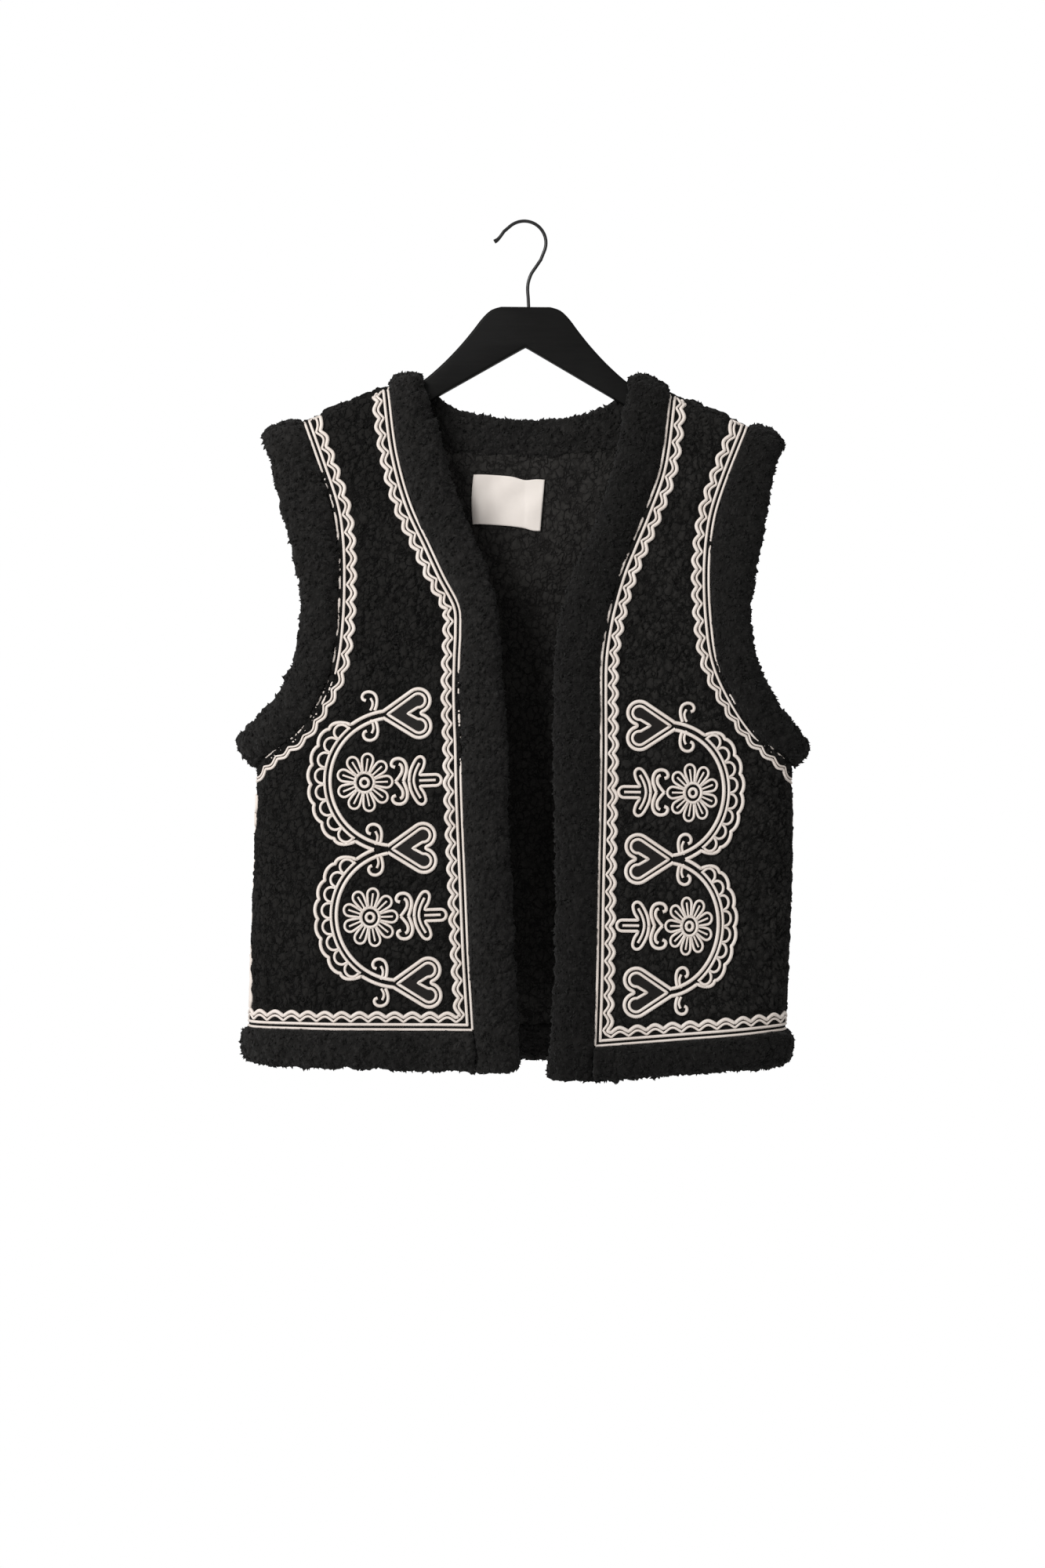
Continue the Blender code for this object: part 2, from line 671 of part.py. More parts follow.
def front_borders(side, finish):
    """Borders beside the front band, above the hem and up the side seam."""
    lay = partial(on_cloth, side)
    route = [seam_place(side, "seam", p) for p in between(HEM + 0.02, BRAID_TOP, 90)]
    braid(f"border_front_{side}", lay, route, finish, turn=-1)
    hem = [Vector((to_girth(side, x, z, "front"), z)) for x, z in front_row(side, HEM, 40)]
    route = [p for p in hem if hem[0].x + BRAID_CORNER < p.x < hem[-1].x - BRAID_END]
    braid(f"border_hem_front_{side}", lay, route, finish, turn=1)
    low = hem[-1].y + BRAID_CORNER
    high = row_point(side, "outer", UNDERARM)[1] - UNDERARM_DROP - BRAID_CORNER
    route = []
    for z in between(low, high, 30):
        route.append(Vector((to_girth(side, half_width(side, z), z, "front") + SIDE_BORDER_BACK, z)))
    braid(f"border_side_{side}", lay, route, finish, turn=1, clear=TRIM_CLEAR_SIDE)


def armhole_border(side, finish):
    """Down the front from the ridge, round below the arm and up the back."""
    up = between(UNDERARM, BRAID_TOP, 80)
    route = [seam_place(side, "outer", p) for p in reversed(up)]
    side_girth = route[-1].x
    route += [seam_place(side, "outer", p, "back") for p in up[1:]]
    for place in route:
        place.y -= UNDERARM_DROP * max(0.0, 1 - abs(place.x - side_girth) / UNDERARM_DROP_OVER)
    braid(f"border_armhole_{side}", partial(on_cloth, side), route, finish, turn=-1, clear=TRIM_CLEAR_SIDE)


def back_borders(finish):
    """Borders below the neck band and above the hem."""
    last = len(BACK_NECK) - 1
    route = [Vector(back_neck_point(step)[1]) for step in between(0.02, last - 0.02, 80)]
    braid("border_back_neck", on_back, route, finish, turn=-1, clear=TRIM_CLEAR_TURNED)
    row = level_row(HEM)
    (left_x, left_z), (right_x, right_z) = row[0], row[-1]
    route = []
    for angle in between(-HEM_BORDER_TURN, HEM_BORDER_TURN, 60):
        x = (-left_x if angle < 0 else right_x) * math.sin(math.radians(angle))
        route.append(Vector((x, left_z + (right_z - left_z) * (x - left_x) / (right_x - left_x))))
    braid("border_hem_back", on_back, route, finish, turn=1, clear=TRIM_CLEAR_TURNED)


def polar(angle, radius=1.0):
    return radius * Vector((math.cos(angle), math.sin(angle)))


def heart_outline(radius, tip, notch):
    """A heart on its side: its tip near the origin, straight flanks and two round lobes towards +x."""
    centre = HEART_LOBE_AT
    flank = math.atan2(centre.y, centre.x) + math.pi - math.acos(radius / centre.length)
    upper = [centre + polar(angle, radius) for angle in between(flank, notch, 9)]
    return [Vector((tip, 0))] + upper + [Vector((p.x, -p.y)) for p in reversed(upper)]


def vine_point(angle, out):
    turn = polar(math.radians(angle))
    return VINE_CENTRE + Vector(((VINE_REACH + out) * turn.x, (VINE_RISE + out) * turn.y))


def place_on(side, point, height=0.0):
    """A motif's own point, x towards the front edge and y up, as a place on the cloth."""
    spray = SPRAY[side]
    lean = math.radians(spray["lean"])
    x, y = point.x, (point.y + height) * spray["rise"]
    if x < 0:
        upper, lower = spray["outward"]
        x *= (upper + lower) / 2 + (upper - lower) * y / VINES_APART
    toward = x * math.cos(lean) - y * math.sin(lean)
    up = x * math.sin(lean) + y * math.cos(lean)
    return Vector((spray["girth"] - toward, spray["height"] + up))


def plate(name, side, outline, middle, height, finish):
    """A flat raised piece: rings of its outline shrunk to its middle, over and under."""
    bm = bmesh.new()
    layers = []
    for out in (TRIM_CLEAR, TRIM_CLEAR + TRIM_RISE):
        hub = bm.verts.new(on_cloth(side, place_on(side, middle, height), out))
        rings = []
        for share in (PLATE_INNER_RING, 1.0):
            points = [middle + (p - middle) * share for p in outline]
            rings.append([bm.verts.new(on_cloth(side, place_on(side, p, height), out)) for p in points])
        layers.append((hub, *rings))
    count = len(outline)
    for hub, inner, outer in layers:
        for k in range(count):
            n = (k + 1) % count
            bm.faces.new((hub, inner[k], inner[n]))
            bm.faces.new((inner[k], outer[k], outer[n], inner[n]))
    for k in range(count):
        n = (k + 1) % count
        bm.faces.new((layers[0][2][k], layers[0][2][n], layers[1][2][n], layers[1][2][k]))
    bmesh.ops.recalc_face_normals(bm, faces=bm.faces)
    add_object(name, bm, finish)


def heart(name, side, height, finish):
    outer = heart_outline(HEART_LOBE_RADIUS, 0.0, HEART_NOTCH["outer"])
    inner = heart_outline(HEART_LOBE_RADIUS - HEART_BAND, HEART_INNER_TIP, HEART_NOTCH["inner"])
    edges = [(place_on(side, a, height), place_on(side, b, height)) for a, b in zip(outer, inner)]
    strip(name, partial(on_cloth, side), edges, finish, closed=True)


def vine(name, side, height, finish):
    """One C of the double vine, with its scalloped outer edge."""
    edges = []
    upper_end = between(VINE_FROM, SCALLOP_FROM, 5)[:-1]
    scalloped = between(SCALLOP_FROM, SCALLOP_TO, SCALLOP_COUNT * 4)
    for angle in upper_end + scalloped + [360 - a for a in reversed(upper_end)]:
        share = (angle - SCALLOP_FROM) / (SCALLOP_TO - SCALLOP_FROM)
        out = VINE_BAND / 2
        if 0 < share < 1:
            out = SCALLOP_OUT + SCALLOP_SWING * (abs(math.sin(math.pi * SCALLOP_COUNT * share)) - 1)
        edges.append([place_on(side, vine_point(angle, reach), height) for reach in (-VINE_BAND / 2, out)])
    strip(name, partial(on_cloth, side), edges, finish)


def daisy(name, side, height, finish):
    outline = []
    for angle in between(0, 2 * math.pi, DAISY_PETALS * 4)[:-1]:
        radius = DAISY_RADIUS + DAISY_SWING * (2 * abs(math.cos(DAISY_PETALS * angle / 2)) - 1)
        petal = polar(angle, radius)
        outline.append(DAISY_AT + Vector((petal.x, petal.y * DAISY_TALL)))
    plate(name, side, outline, DAISY_AT, height, finish)


def lobed_plate(name, side, at, half, height, finish):
    """A plate from the upper half of its outline, which starts and ends on its own axis."""
    lobes = [*half, *((x, -z) for x, z in half[-2:0:-1])]
    outline = [at + Vector(p) * MM for p in lobes]
    plate(name, side, outline, at, height, finish)


def spray(side, finish):
    """Three hearts, two vines, and a daisy with its scroll and tulip in each vine."""
    for name, step in (("top", 1), ("middle", 0), ("low", -1)):
        heart(f"heart_{name}_{side}", side, step * HEART_SPACING, finish)
    for name, height in (("upper", 0.0), ("lower", -HEART_SPACING)):
        vine(f"vine_{name}_{side}", side, height, finish)
        daisy(f"daisy_{name}_{side}", side, height, finish)
        lobed_plate(f"scroll_{name}_{side}", side, SCROLL_AT, SCROLL_LOBES, height, finish)
        lobed_plate(f"tulip_{name}_{side}", side, TULIP_AT, TULIP_LOBES, height, finish)


def label(finish):
    """A blank woven label on the inner face of the back."""
    turn = math.radians(LABEL_TURN)
    rings = []
    columns = 6
    for row in (0.5, 0, -0.5):
        front, behind = [], []
        for k in range(columns + 1):
            across = (k / columns - 0.5) * LABEL_WIDTH
            up = row * LABEL_HEIGHT
            x = LABEL_CENTRE.x + across * math.cos(turn) - up * math.sin(turn)
            z = LABEL_CENTRE.y + across * math.sin(turn) + up * math.cos(turn)
            behind.append(on_skin(x, z, "back", -CLOTH - TRIM_CLEAR))
            front.append(on_skin(x, z, "back", -CLOTH - TRIM_CLEAR - LABEL_THICKNESS))
        rings.append(front + behind[::-1])
    return loft("neck_label", rings, finish, strip_caps=True)


def hanger_outline():
    right = [*HANGER_TOP, *HANGER_UNDER]
    left = [(-x, z) for x, z in reversed(right) if x]
    pivot = Vector((0, 0, HANGER_TOP[0][1]))
    tilt = Matrix.Rotation(math.radians(HANGER_TILT), 3, "Y")
    return [(pivot + tilt @ (Vector((x, 0, z)) - pivot)) * MM for x, z in [*right, *left]]


def hanger(finish):
    bm = bmesh.new()
    to_back = Vector((0, HANGER_THICKNESS / 2, 0))
    face = bm.faces.new([bm.verts.new(point + to_back) for point in hanger_outline()])
    moved = bmesh.ops.extrude_face_region(bm, geom=[face])["geom"]
    front = [v for v in moved if isinstance(v, bmesh.types.BMVert)]
    bmesh.ops.translate(bm, verts=front, vec=-2 * to_back)
    bmesh.ops.recalc_face_normals(bm, faces=bm.faces)
    rims = [e for e in bm.edges if abs(e.verts[0].co.y - e.verts[1].co.y) < 1e-9]
    bmesh.ops.bevel(bm, geom=rims, offset=HANGER_EDGE_ROUND, segments=2, profile=0.5, affect="EDGES",
                    material=-1)
    made = add_object("hanger", bm, finish)
    hole = bmesh.new()
    bmesh.ops.create_cone(hole, cap_ends=True, segments=16, radius1=HOOK_HOLE_RADIUS,
                          radius2=HOOK_HOLE_RADIUS, depth=2 * HOOK_HOLE_DEPTH)
    cutter = add_object("hook_hole", hole, finish)
    cutter.location = (HOOK_STEM_X, 0, HANGER_TOP[0][1] * MM)
    cutter.hide_render = True
    cutter.display_type = "WIRE"
    cut = made.modifiers.new("hook hole", "BOOLEAN")
    cut.operation = "DIFFERENCE"
    cut.object = cutter


def hook_route():
    """The wire's centre line: the stem, a swan neck, a round loop and a flared tip."""
    stem_top = HANGER_TOP[0][1] * MM
    stem = [(HOOK_STEM_X, stem_top - HOOK_HOLE_DEPTH + SEAM_GAP), (HOOK_STEM_X, stem_top)]
    neck = [Vector(point) * MM for point in HOOK_NECK]
    loop = [HOOK_CENTRE + polar(math.radians(angle), HOOK_LOOP) for angle in between(*HOOK_LOOP_TURN, 16)]
    tip = [Vector(point) * MM for point in HOOK_TIP]
    return [(x, 0, z) for x, z in [*stem, *neck, *loop, *tip]]


def hook(finish):
    curve = bpy.data.curves.new("hook", "CURVE")
    curve.dimensions = "3D"
    curve.bevel_depth = HOOK_RADIUS
    curve.bevel_resolution = 2
    curve.use_fill_caps = True
    points = hook_route()
    line = curve.splines.new("POLY")
    line.points.add(len(points) - 1)
    for point, place in zip(line.points, points):
        point.co = (*place, 1.0)
    for point in line.points[-2:]:
        point.radius = HOOK_TIP_RADIUS
    curve.materials.append(finish)
    bpy.context.scene.collection.objects.link(bpy.data.objects.new("hook", curve))


def build():
    for old in list(bpy.data.objects):
        bpy.data.objects.remove(old)
    pile = material("black pile cloth", (0.018, 0.017, 0.0165), 0.95)
    cord = material("cream cord", (0.80, 0.72, 0.65), 0.6)
    paint = material("black satin paint", (0.012, 0.012, 0.012), 0.4)
    wire = material("black wire", (0.02, 0.02, 0.02), 0.35, 0.9)
    satin = material("cream satin label", (0.84, 0.78, 0.72), 0.5)

    for side in ("left", "right"):
        front_panel(side, pile)
        front_band(side, pile)
        armhole_band(side, pile)
        front_borders(side, cord)
        armhole_border(side, cord)
        spray(side, cord)
    back_panel(pile)
    back_neck_band(pile)
    hem_bands(pile)
    back_borders(cord)
    label(satin)
    hanger(paint)
    hook(wire)


build()
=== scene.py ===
# A black pile vest with cream corded embroidery on its wooden hanger, dressed over the CAD frame.
# Metres, +Z up. The front faces -Y, and left and right are as seen by someone who looks at it.
import json
import random
from functools import cache
from math import acos, asin, atan2, cos, degrees, exp, floor, pi, radians, sin, sqrt, tan

import bmesh
import bpy
from mathutils import Matrix, Vector, noise
from mathutils.bvhtree import BVHTree
from mathutils.kdtree import KDTree

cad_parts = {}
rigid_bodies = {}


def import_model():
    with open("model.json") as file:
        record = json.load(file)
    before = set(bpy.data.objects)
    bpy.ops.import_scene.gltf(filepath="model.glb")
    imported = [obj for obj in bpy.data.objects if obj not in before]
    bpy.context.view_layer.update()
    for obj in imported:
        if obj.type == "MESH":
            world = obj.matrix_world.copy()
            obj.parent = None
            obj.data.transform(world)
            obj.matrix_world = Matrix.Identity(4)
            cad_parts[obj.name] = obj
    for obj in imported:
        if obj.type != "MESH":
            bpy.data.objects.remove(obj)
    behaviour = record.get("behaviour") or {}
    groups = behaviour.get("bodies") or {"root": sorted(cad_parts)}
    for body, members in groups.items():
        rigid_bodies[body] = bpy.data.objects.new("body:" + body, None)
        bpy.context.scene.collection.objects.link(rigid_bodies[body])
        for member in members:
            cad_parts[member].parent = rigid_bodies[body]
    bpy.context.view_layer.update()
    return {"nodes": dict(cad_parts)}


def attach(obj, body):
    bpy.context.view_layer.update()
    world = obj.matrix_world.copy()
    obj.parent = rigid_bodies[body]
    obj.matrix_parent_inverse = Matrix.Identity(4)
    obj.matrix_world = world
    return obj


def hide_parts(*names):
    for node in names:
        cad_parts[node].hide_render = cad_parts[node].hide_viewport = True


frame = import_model()
nodes = frame["nodes"]
mm = 0.001
sides = {"left": -1, "right": 1}
faces = {"front": -1, "back": 1}
print("frame loaded:", len(nodes), "nodes")


# Studio: a white room, one large soft lamp from the upper left, and the camera of the photograph
studio = {
    "cameraAt": (-0.003, -2.635, -0.503), "lens": 67.5,
    "backdrop": 1.0,  # how white the room is to the camera, and below how much it lights the vest
    "sky": 0.52,
    "keyAt": (-1.4, -1.6, 0.6), "keyAim": (0, 0, -0.45), "keySize": 1.0, "keyPower": 56,
    "floorAt": (0, -1.25, -1.45), "floorSize": 2.0,
}


def setStudio():
    scene = bpy.context.scene
    scene.view_settings.view_transform = "Standard"
    camera = linked("camera", bpy.data.cameras.new("camera"))
    camera.data.lens = studio["lens"]
    camera.location = studio["cameraAt"]
    camera.rotation_euler = (pi / 2, 0, 0)
    scene.camera = camera

    world = bpy.data.worlds.new("white room")
    world.use_nodes = True
    tree = world.node_tree
    background = tree.nodes["Background"]
    background.inputs["Color"].default_value = (1, 1, 1, 1)
    seen = addNode(tree, "LightPath").outputs["Is Camera Ray"]
    plug(background.inputs["Strength"], mapped(seen, 0.0, 1.0, studio["sky"], studio["backdrop"]))
    scene.world = world

    key = linked("key lamp", bpy.data.lights.new("key lamp", "AREA"))
    key.data.size = studio["keySize"]
    key.data.energy = studio["keyPower"]
    key.location = studio["keyAt"]
    key.rotation_euler = (Vector(studio["keyAim"]) - key.location).to_track_quat("-Z", "Y").to_euler()

    bm = bmesh.new()
    bmesh.ops.create_grid(bm, x_segments=2, y_segments=2, size=studio["floorSize"])
    bmesh.ops.translate(bm, verts=bm.verts, vec=studio["floorAt"])
    addPiece("floor", bm, paper)


# Materials
def newMaterial(name, colour, roughness, finish=None):
    # the finish holds the shader's other sockets, and the last thing returned is the place its patterns read
    made = bpy.data.materials.new(name)
    made.use_nodes = True
    shader = made.node_tree.nodes["Principled BSDF"]
    for key, value in {"Base Color": (*colour, 1), "Roughness": roughness, **(finish or {})}.items():
        shader.inputs[key].default_value = value
    return made, shader, addNode(made.node_tree, "TexCoord").outputs["Object"]


def plug(socket, value):
    if isinstance(value, bpy.types.NodeSocket):
        socket.id_data.links.new(value, socket)
    else:
        socket.default_value = value


def addNode(tree, kind, inputs=None, family="ShaderNode", **settings):
    made = tree.nodes.new(family + kind)
    for key, value in settings.items():
        setattr(made, key, value)
    for key, value in (inputs or {}).items():
        plug(made.inputs[key], value)
    return made


def blended(share, dark, light):
    mix = addNode(share.id_data, "Mix", {0: share}, data_type="RGBA")
    for k, value in ((6, dark), (7, light)):
        plug(mix.inputs[k], (*value, 1) if isinstance(value, tuple) else value)
    return mix.outputs[2]


def coloured(shader, share, dark, light):
    plug(shader.inputs["Base Color"], blended(share, dark, light))


def mapped(value, low, high, toLow, toHigh):
    inputs = {"Value": value, "From Min": low, "From Max": high, "To Min": toLow, "To Max": toHigh}
    return addNode(value.id_data, "MapRange", inputs).outputs["Result"]


def reckon(operation, first, second=0.0):
    return addNode(first.id_data, "Math", {0: first, 1: second}, operation=operation).outputs[0]


def times(first, second):
    return reckon("MULTIPLY", first, second)


def plus(first, second):
    return reckon("ADD", first, second)


def without(value):
    return addNode(value.id_data, "Math", {0: 1.0, 1: value}, operation="SUBTRACT").outputs[0]


def vectors(operation, first, second):
    return addNode(first.id_data, "VectorMath", {0: first, 1: second}, operation=operation).outputs[0]


def clouds(place, scale, detail=2.0, output=0):
    return addNode(place.id_data, "TexNoise", {"Vector": place, "Scale": scale, "Detail": detail}).outputs[output]


def stripes(place, scale, across, distortion, detail=2.0):
    inputs = {"Vector": place, "Scale": scale, "Distortion": distortion, "Detail": detail}
    return addNode(place.id_data, "TexWave", inputs, bands_direction=across).outputs["Fac"]


def attribute(shader, name):
    return addNode(shader.id_data, "Attribute", attribute_name=name).outputs["Fac"]


def raised(shader, height, distance):
    bump = addNode(shader.id_data, "Bump", {"Height": height, "Distance": distance})
    plug(shader.inputs["Normal"], bump.outputs["Normal"])


def curls(place, look):
    # the pile's rounded curls with thin creases between: used to raise the cloth and to paint shade on it, dark in
    # the creases and lighter on the curl tops
    tree = place.id_data
    bent = vectors("SUBTRACT", clouds(place, look["driftScale"], 3.0, "Color"), (0.5, 0.5, 0.5))
    bent = vectors("MULTIPLY", bent, (look["drift"],) * 3)
    moved = vectors("ADD", vectors("MULTIPLY", place, (1.0, 1.0, look["upright"])), bent)
    cells = {"Vector": moved, "Scale": 1 / look["curl"]}
    edge = addNode(tree, "TexVoronoi", cells, feature="DISTANCE_TO_EDGE").outputs["Distance"]
    near = addNode(tree, "TexVoronoi", cells, feature="F1").outputs["Distance"]
    crease = addNode(tree, "MapRange", {"Value": edge, "From Min": 0.0, "From Max": look["crease"]},
                     interpolation_type="SMOOTHSTEP").outputs["Result"]
    depth = mapped(clouds(place, look["grownScale"], 1.0), 0.34, 0.56, 0.45, 1.0)  # some creases are shallower
    dome = mapped(mapped(near, 0.0, 0.85, 1.0, 0.0), 0.0, 1.0, 0.65, 1.0)
    return times(without(times(without(crease), depth)), dome), moved


def pileMaterial(name, look):
    finish = {"Sheen Weight": look["sheen"], "Sheen Roughness": 0.6, "Specular IOR Level": 0.05}
    made, shader, place = newMaterial(name, look["tip"], 1.0, finish)
    height, moved = curls(place, look)
    napAndShade = attribute(shader, "napAndShade")  # 0 dark and pressed, 1 light and loose; it also carries painted shade at the tufts' roots and on the right-hand bands
    free = attribute(shader, "free")  # 0 flat beside the sewing, 1 raised
    relief = times(height, mapped(free, 0.0, 1.0, 0.35, 1.0))
    shade = times(height, mapped(napAndShade, 0.0, 1.0, 0.25, 0.62))
    shade = plus(shade, mapped(napAndShade, 0.5, 1.0, 0.0, 0.2))
    fibre, lock = clouds(moved, 1100.0, 3.0), clouds(moved, 420.0)
    patches = clouds(place, 26.0)
    for value, low, high, dark, light in ((patches, 0.3, 0.7, 0.8, 1.15), (lock, 0.3, 0.7, 0.75, 1.15),
                                          (fibre, 0.25, 0.75, 0.7, 1.2)):
        shade = times(shade, mapped(value, low, high, dark, light))
    # painted shade: the creases between curls get the dark crease colour and the curl tops the light tip colour
    coloured(shader, shade, look["creaseShade"], look["tip"])
    for value, share in ((lock, 0.35), (fibre, 0.2)):
        relief = plus(relief, times(value, share))
    raised(shader, relief, look["relief"])
    return made


def cordMaterial():
    made, shader, place = newMaterial("cream satin stitch", (0.8, 0.72, 0.65), 0.55, {"Sheen Weight": 0.15})
    along = attribute(shader, "along")  # metres along the cord
    stitchLength = 0.00055
    turns = plus(times(along, 2 * pi / stitchLength), times(clouds(place, 420.0), 5.0))
    stitch = mapped(reckon("SINE", turns), -1.0, 1.0, 0.0, 1.0)
    wear = mapped(clouds(place, 60.0, 4.0), 0.35, 0.7, 0.0, 1.0)
    thread = blended(wear, (0.72, 0.645, 0.585), (0.83, 0.765, 0.71))
    # painted shade: the grooves between stitches get the dark colour, the stitch crests the thread colour
    coloured(shader, mapped(stitch, 0.0, 0.5, 0.0, 1.0), (0.60, 0.51, 0.45), thread)
    raised(shader, stitch, 0.00012)
    return made


def satinMaterial():
    made, shader, place = newMaterial("black satin", (0.010, 0.0085, 0.008), 0.55, {"Specular IOR Level": 0.12})
    coloured(shader, clouds(place, 90.0), (0.0055, 0.0048, 0.0044), (0.014, 0.0115, 0.0105))
    raised(shader, stripes(place, 380.0, "Z", 1.5, 1.0), 0.00006)
    return made


def labelMaterial():
    made, shader, place = newMaterial("cream label satin", (0.82, 0.75, 0.69), 0.38, {"Sheen Weight": 0.2})
    weave = times(stripes(place, 900.0, "X", 0.6), stripes(place, 700.0, "Z", 0.6))
    coloured(shader, clouds(place, 55.0, 3.0), (0.66, 0.60, 0.55), (0.76, 0.70, 0.65))
    raised(shader, weave, 0.00008)
    return made


def woodMaterial():
    finish = {"Specular IOR Level": 0.1}
    made, shader, place = newMaterial("black lacquered wood", (0.006, 0.0058, 0.0055), 0.5, finish)
    stretched = addNode(place.id_data, "Mapping", {"Vector": place, "Scale": (0.12, 1.0, 0.9)}).outputs["Vector"]
    grain = clouds(stretched, 420.0, 5.0)
    coloured(shader, grain, (0.0022, 0.0021, 0.0020), (0.0052, 0.0050, 0.0047))
    plug(shader.inputs["Roughness"], mapped(clouds(place, 30.0), 0.3, 0.7, 0.42, 0.58))
    raised(shader, grain, 0.00012)
    return made


def wireMaterial():
    made, shader, place = newMaterial("black painted wire", (0.02, 0.02, 0.02), 0.3, {"Metallic": 0.6})
    rub = clouds(place, 240.0, 3.0)
    coloured(shader, rub, (0.012, 0.012, 0.012), (0.028, 0.028, 0.028))
    plug(shader.inputs["Roughness"], mapped(rub, 0.3, 0.7, 0.24, 0.42))
    raised(shader, rub, 0.00005)
    return made


def paperMaterial():
    made, shader, place = newMaterial("pale floor", (0.9, 0.9, 0.9), 0.9)
    coloured(shader, clouds(place, 8.0), (0.88, 0.88, 0.88), (0.92, 0.92, 0.92))
    return made


# creaseShade is the painted shade colour of the creases between curls, tip the colour of the curl tops
curly = {"curl": 6.2 * mm, "upright": 0.8, "driftScale": 180.0, "drift": 9.0 * mm, "crease": 0.14,
         "grownScale": 120.0, "relief": 1.7 * mm, "sheen": 0.02,
         "creaseShade": (0.0026, 0.0024, 0.0022), "tip": (0.0315, 0.0299, 0.0280)}
brushed = {"curl": 5.2 * mm, "upright": 0.9, "driftScale": 220.0, "drift": 9.0 * mm, "crease": 0.3,
           "grownScale": 140.0, "relief": 0.9 * mm, "sheen": 0.04,
           "creaseShade": (0.0050, 0.0047, 0.0044), "tip": (0.0215, 0.0204, 0.0194)}
curlyPile = pileMaterial("black curly pile", curly)
brushedPile = pileMaterial("black brushed pile", brushed)
creamCord = cordMaterial()
blackSatin = satinMaterial()
labelSatin = labelMaterial()
lacquer = woodMaterial()
wirePaint = wireMaterial()
paper = paperMaterial()


def linked(name, data):
    made = bpy.data.objects.new(name, data)
    bpy.context.scene.collection.objects.link(made)
    return made


def addPiece(name, bm, material):
    mesh = bpy.data.meshes.new(name)
    bm.to_mesh(mesh)
    bm.free()
    mesh.materials.append(material)
    mesh.shade_smooth()
    return linked(name, mesh)


def dress(obj, node=None):
    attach(obj, "root")
    if node:
        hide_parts(node)


def faceFront(bm):
    bmesh.ops.recalc_face_normals(bm, faces=bm.faces)
    if sum(face.normal.y for face in bm.faces) > 0:
        bmesh.ops.reverse_faces(bm, faces=bm.faces)


setStudio()
random.seed(11)
print("studio and materials ready")


# The hanging cloth: the same skin as the frame's panels, so that sewing can be laid on it
cloth = {
    "shoulderDepth": 13 * mm, "shoulderRound": 14 * mm, "flatShoulder": 150 * mm,
    "depth": {"front": 40 * mm, "back": 36 * mm}, "growsOver": 400 * mm, "hemHeight": -755,
    "power": 5.0, "root": 0.42,  # the section's roundness at the sides
}
ridges = {
    "left": {"from": 126 * mm, "height": -150.5 * mm, "fall": 0.41},
    "right": {"from": 130 * mm, "height": -155.5 * mm, "fall": 0.42},
}
seams = {  # band seam x and z, then side or armhole seam x and z, in mm, from the bottom edge up
    "left": ((45, -757, 248, -751), (46, -721, 247.5, -720), (50, -655, 245.5, -655), (53, -585, 242.5, -585),
             (56, -515, 241, -521), (57, -469, 240, -486.5), (58, -444, 221.5, -470.5), (58.5, -420, 200.5, -455),
             (58, -392, 183, -427), (57, -367.5, 172.5, -399), (58.5, -345, 167.5, -357), (72, -318.5, 166.5, -315),
             (85, -290.5, 168, -283.5), (102.5, -252, 172.5, -255.5), (115, -205, 184.5, -219),
             (122, -149, 198.5, -180)),
    "right": ((59, -765, 233, -753), (60, -735, 232, -722.5), (62, -672, 233.5, -675.5), (63, -602, 236.5, -612.5),
              (64.5, -532, 238.5, -542.5), (65.5, -476, 237, -488), (65.5, -451.5, 219.5, -470.5),
              (65.5, -423.5, 202, -455), (66, -395.5, 184.5, -428.5), (69, -371, 170.5, -395.5),
              (74, -346.5, 165, -357), (82.5, -317, 163.5, -318.5), (93, -290.5, 165.5, -287),
              (106, -259, 170.5, -259), (120, -217, 182.5, -224), (128, -155, 198.5, -184)),
}
hemRow, underarmRow, ridgeRow = 1, 5, 15
backNeck = ((-122, -149), (-117, -169), (-106, -184), (-86, -197), (-52, -205), (-2, -208), (50, -206), (87, -199),
            (110, -186), (122, -172), (128, -155))
waves = {  # x above, x at the hem, top, half width and height, in mm
    "front": ((-150, -172, -470, 22, 3.5), (-196, -210, -440, 20, -3.0), (-84, -76, -560, 20, -2.0),
              (170, 186, -500, 24, 3.0), (205, 214, -470, 18, -2.5), (88, 80, -520, 24, 2.5),
              (40, 38, -400, 26, 5.0), (-34, -26, -420, 24, 2.0)),
    "back": ((-120, -150, -330, 38, 4.0), (-40, -52, -380, 34, -2.0), (48, 60, -360, 36, 3.5),
             (130, 148, -400, 38, -2.5)),
}


def ease(t):
    t = max(0.0, min(1.0, t))
    return t * t * (3 - 2 * t)


def between(first, last, count):
    return [first + (last - first) * k / count for k in range(count + 1)]


def curveThrough(values, position):
    last = len(values) - 1
    i = max(0, min(last - 1, int(floor(position))))
    t = position - i
    p0, p1, p2, p3 = (values[max(0, min(last, k))] for k in (i - 1, i, i + 1, i + 2))
    return [0.5 * (2 * b + (c - a) * t + (2 * a - 5 * b + 4 * c - d) * t * t + (3 * b - a - 3 * c + d) * t**3)
            for a, b, c, d in zip(p0, p1, p2, p3)]


def sideOf(x):
    return "left" if x < 0 else "right"


def ridgeHeight(x):
    ridge = ridges[sideOf(x)]
    return ridge["height"] - ridge["fall"] * (abs(x) - ridge["from"])


def halfWidth(side, z):
    table = [(row[3] * mm, row[2] * mm) for row in seams[side][: underarmRow + 1]]
    if z >= table[-1][0]:
        return table[-1][1]
    for (z0, w0), (z1, w1) in zip(table, table[1:]):
        if z <= z1:
            return w0 + (w1 - w0) * (z - z0) / (z1 - z0)


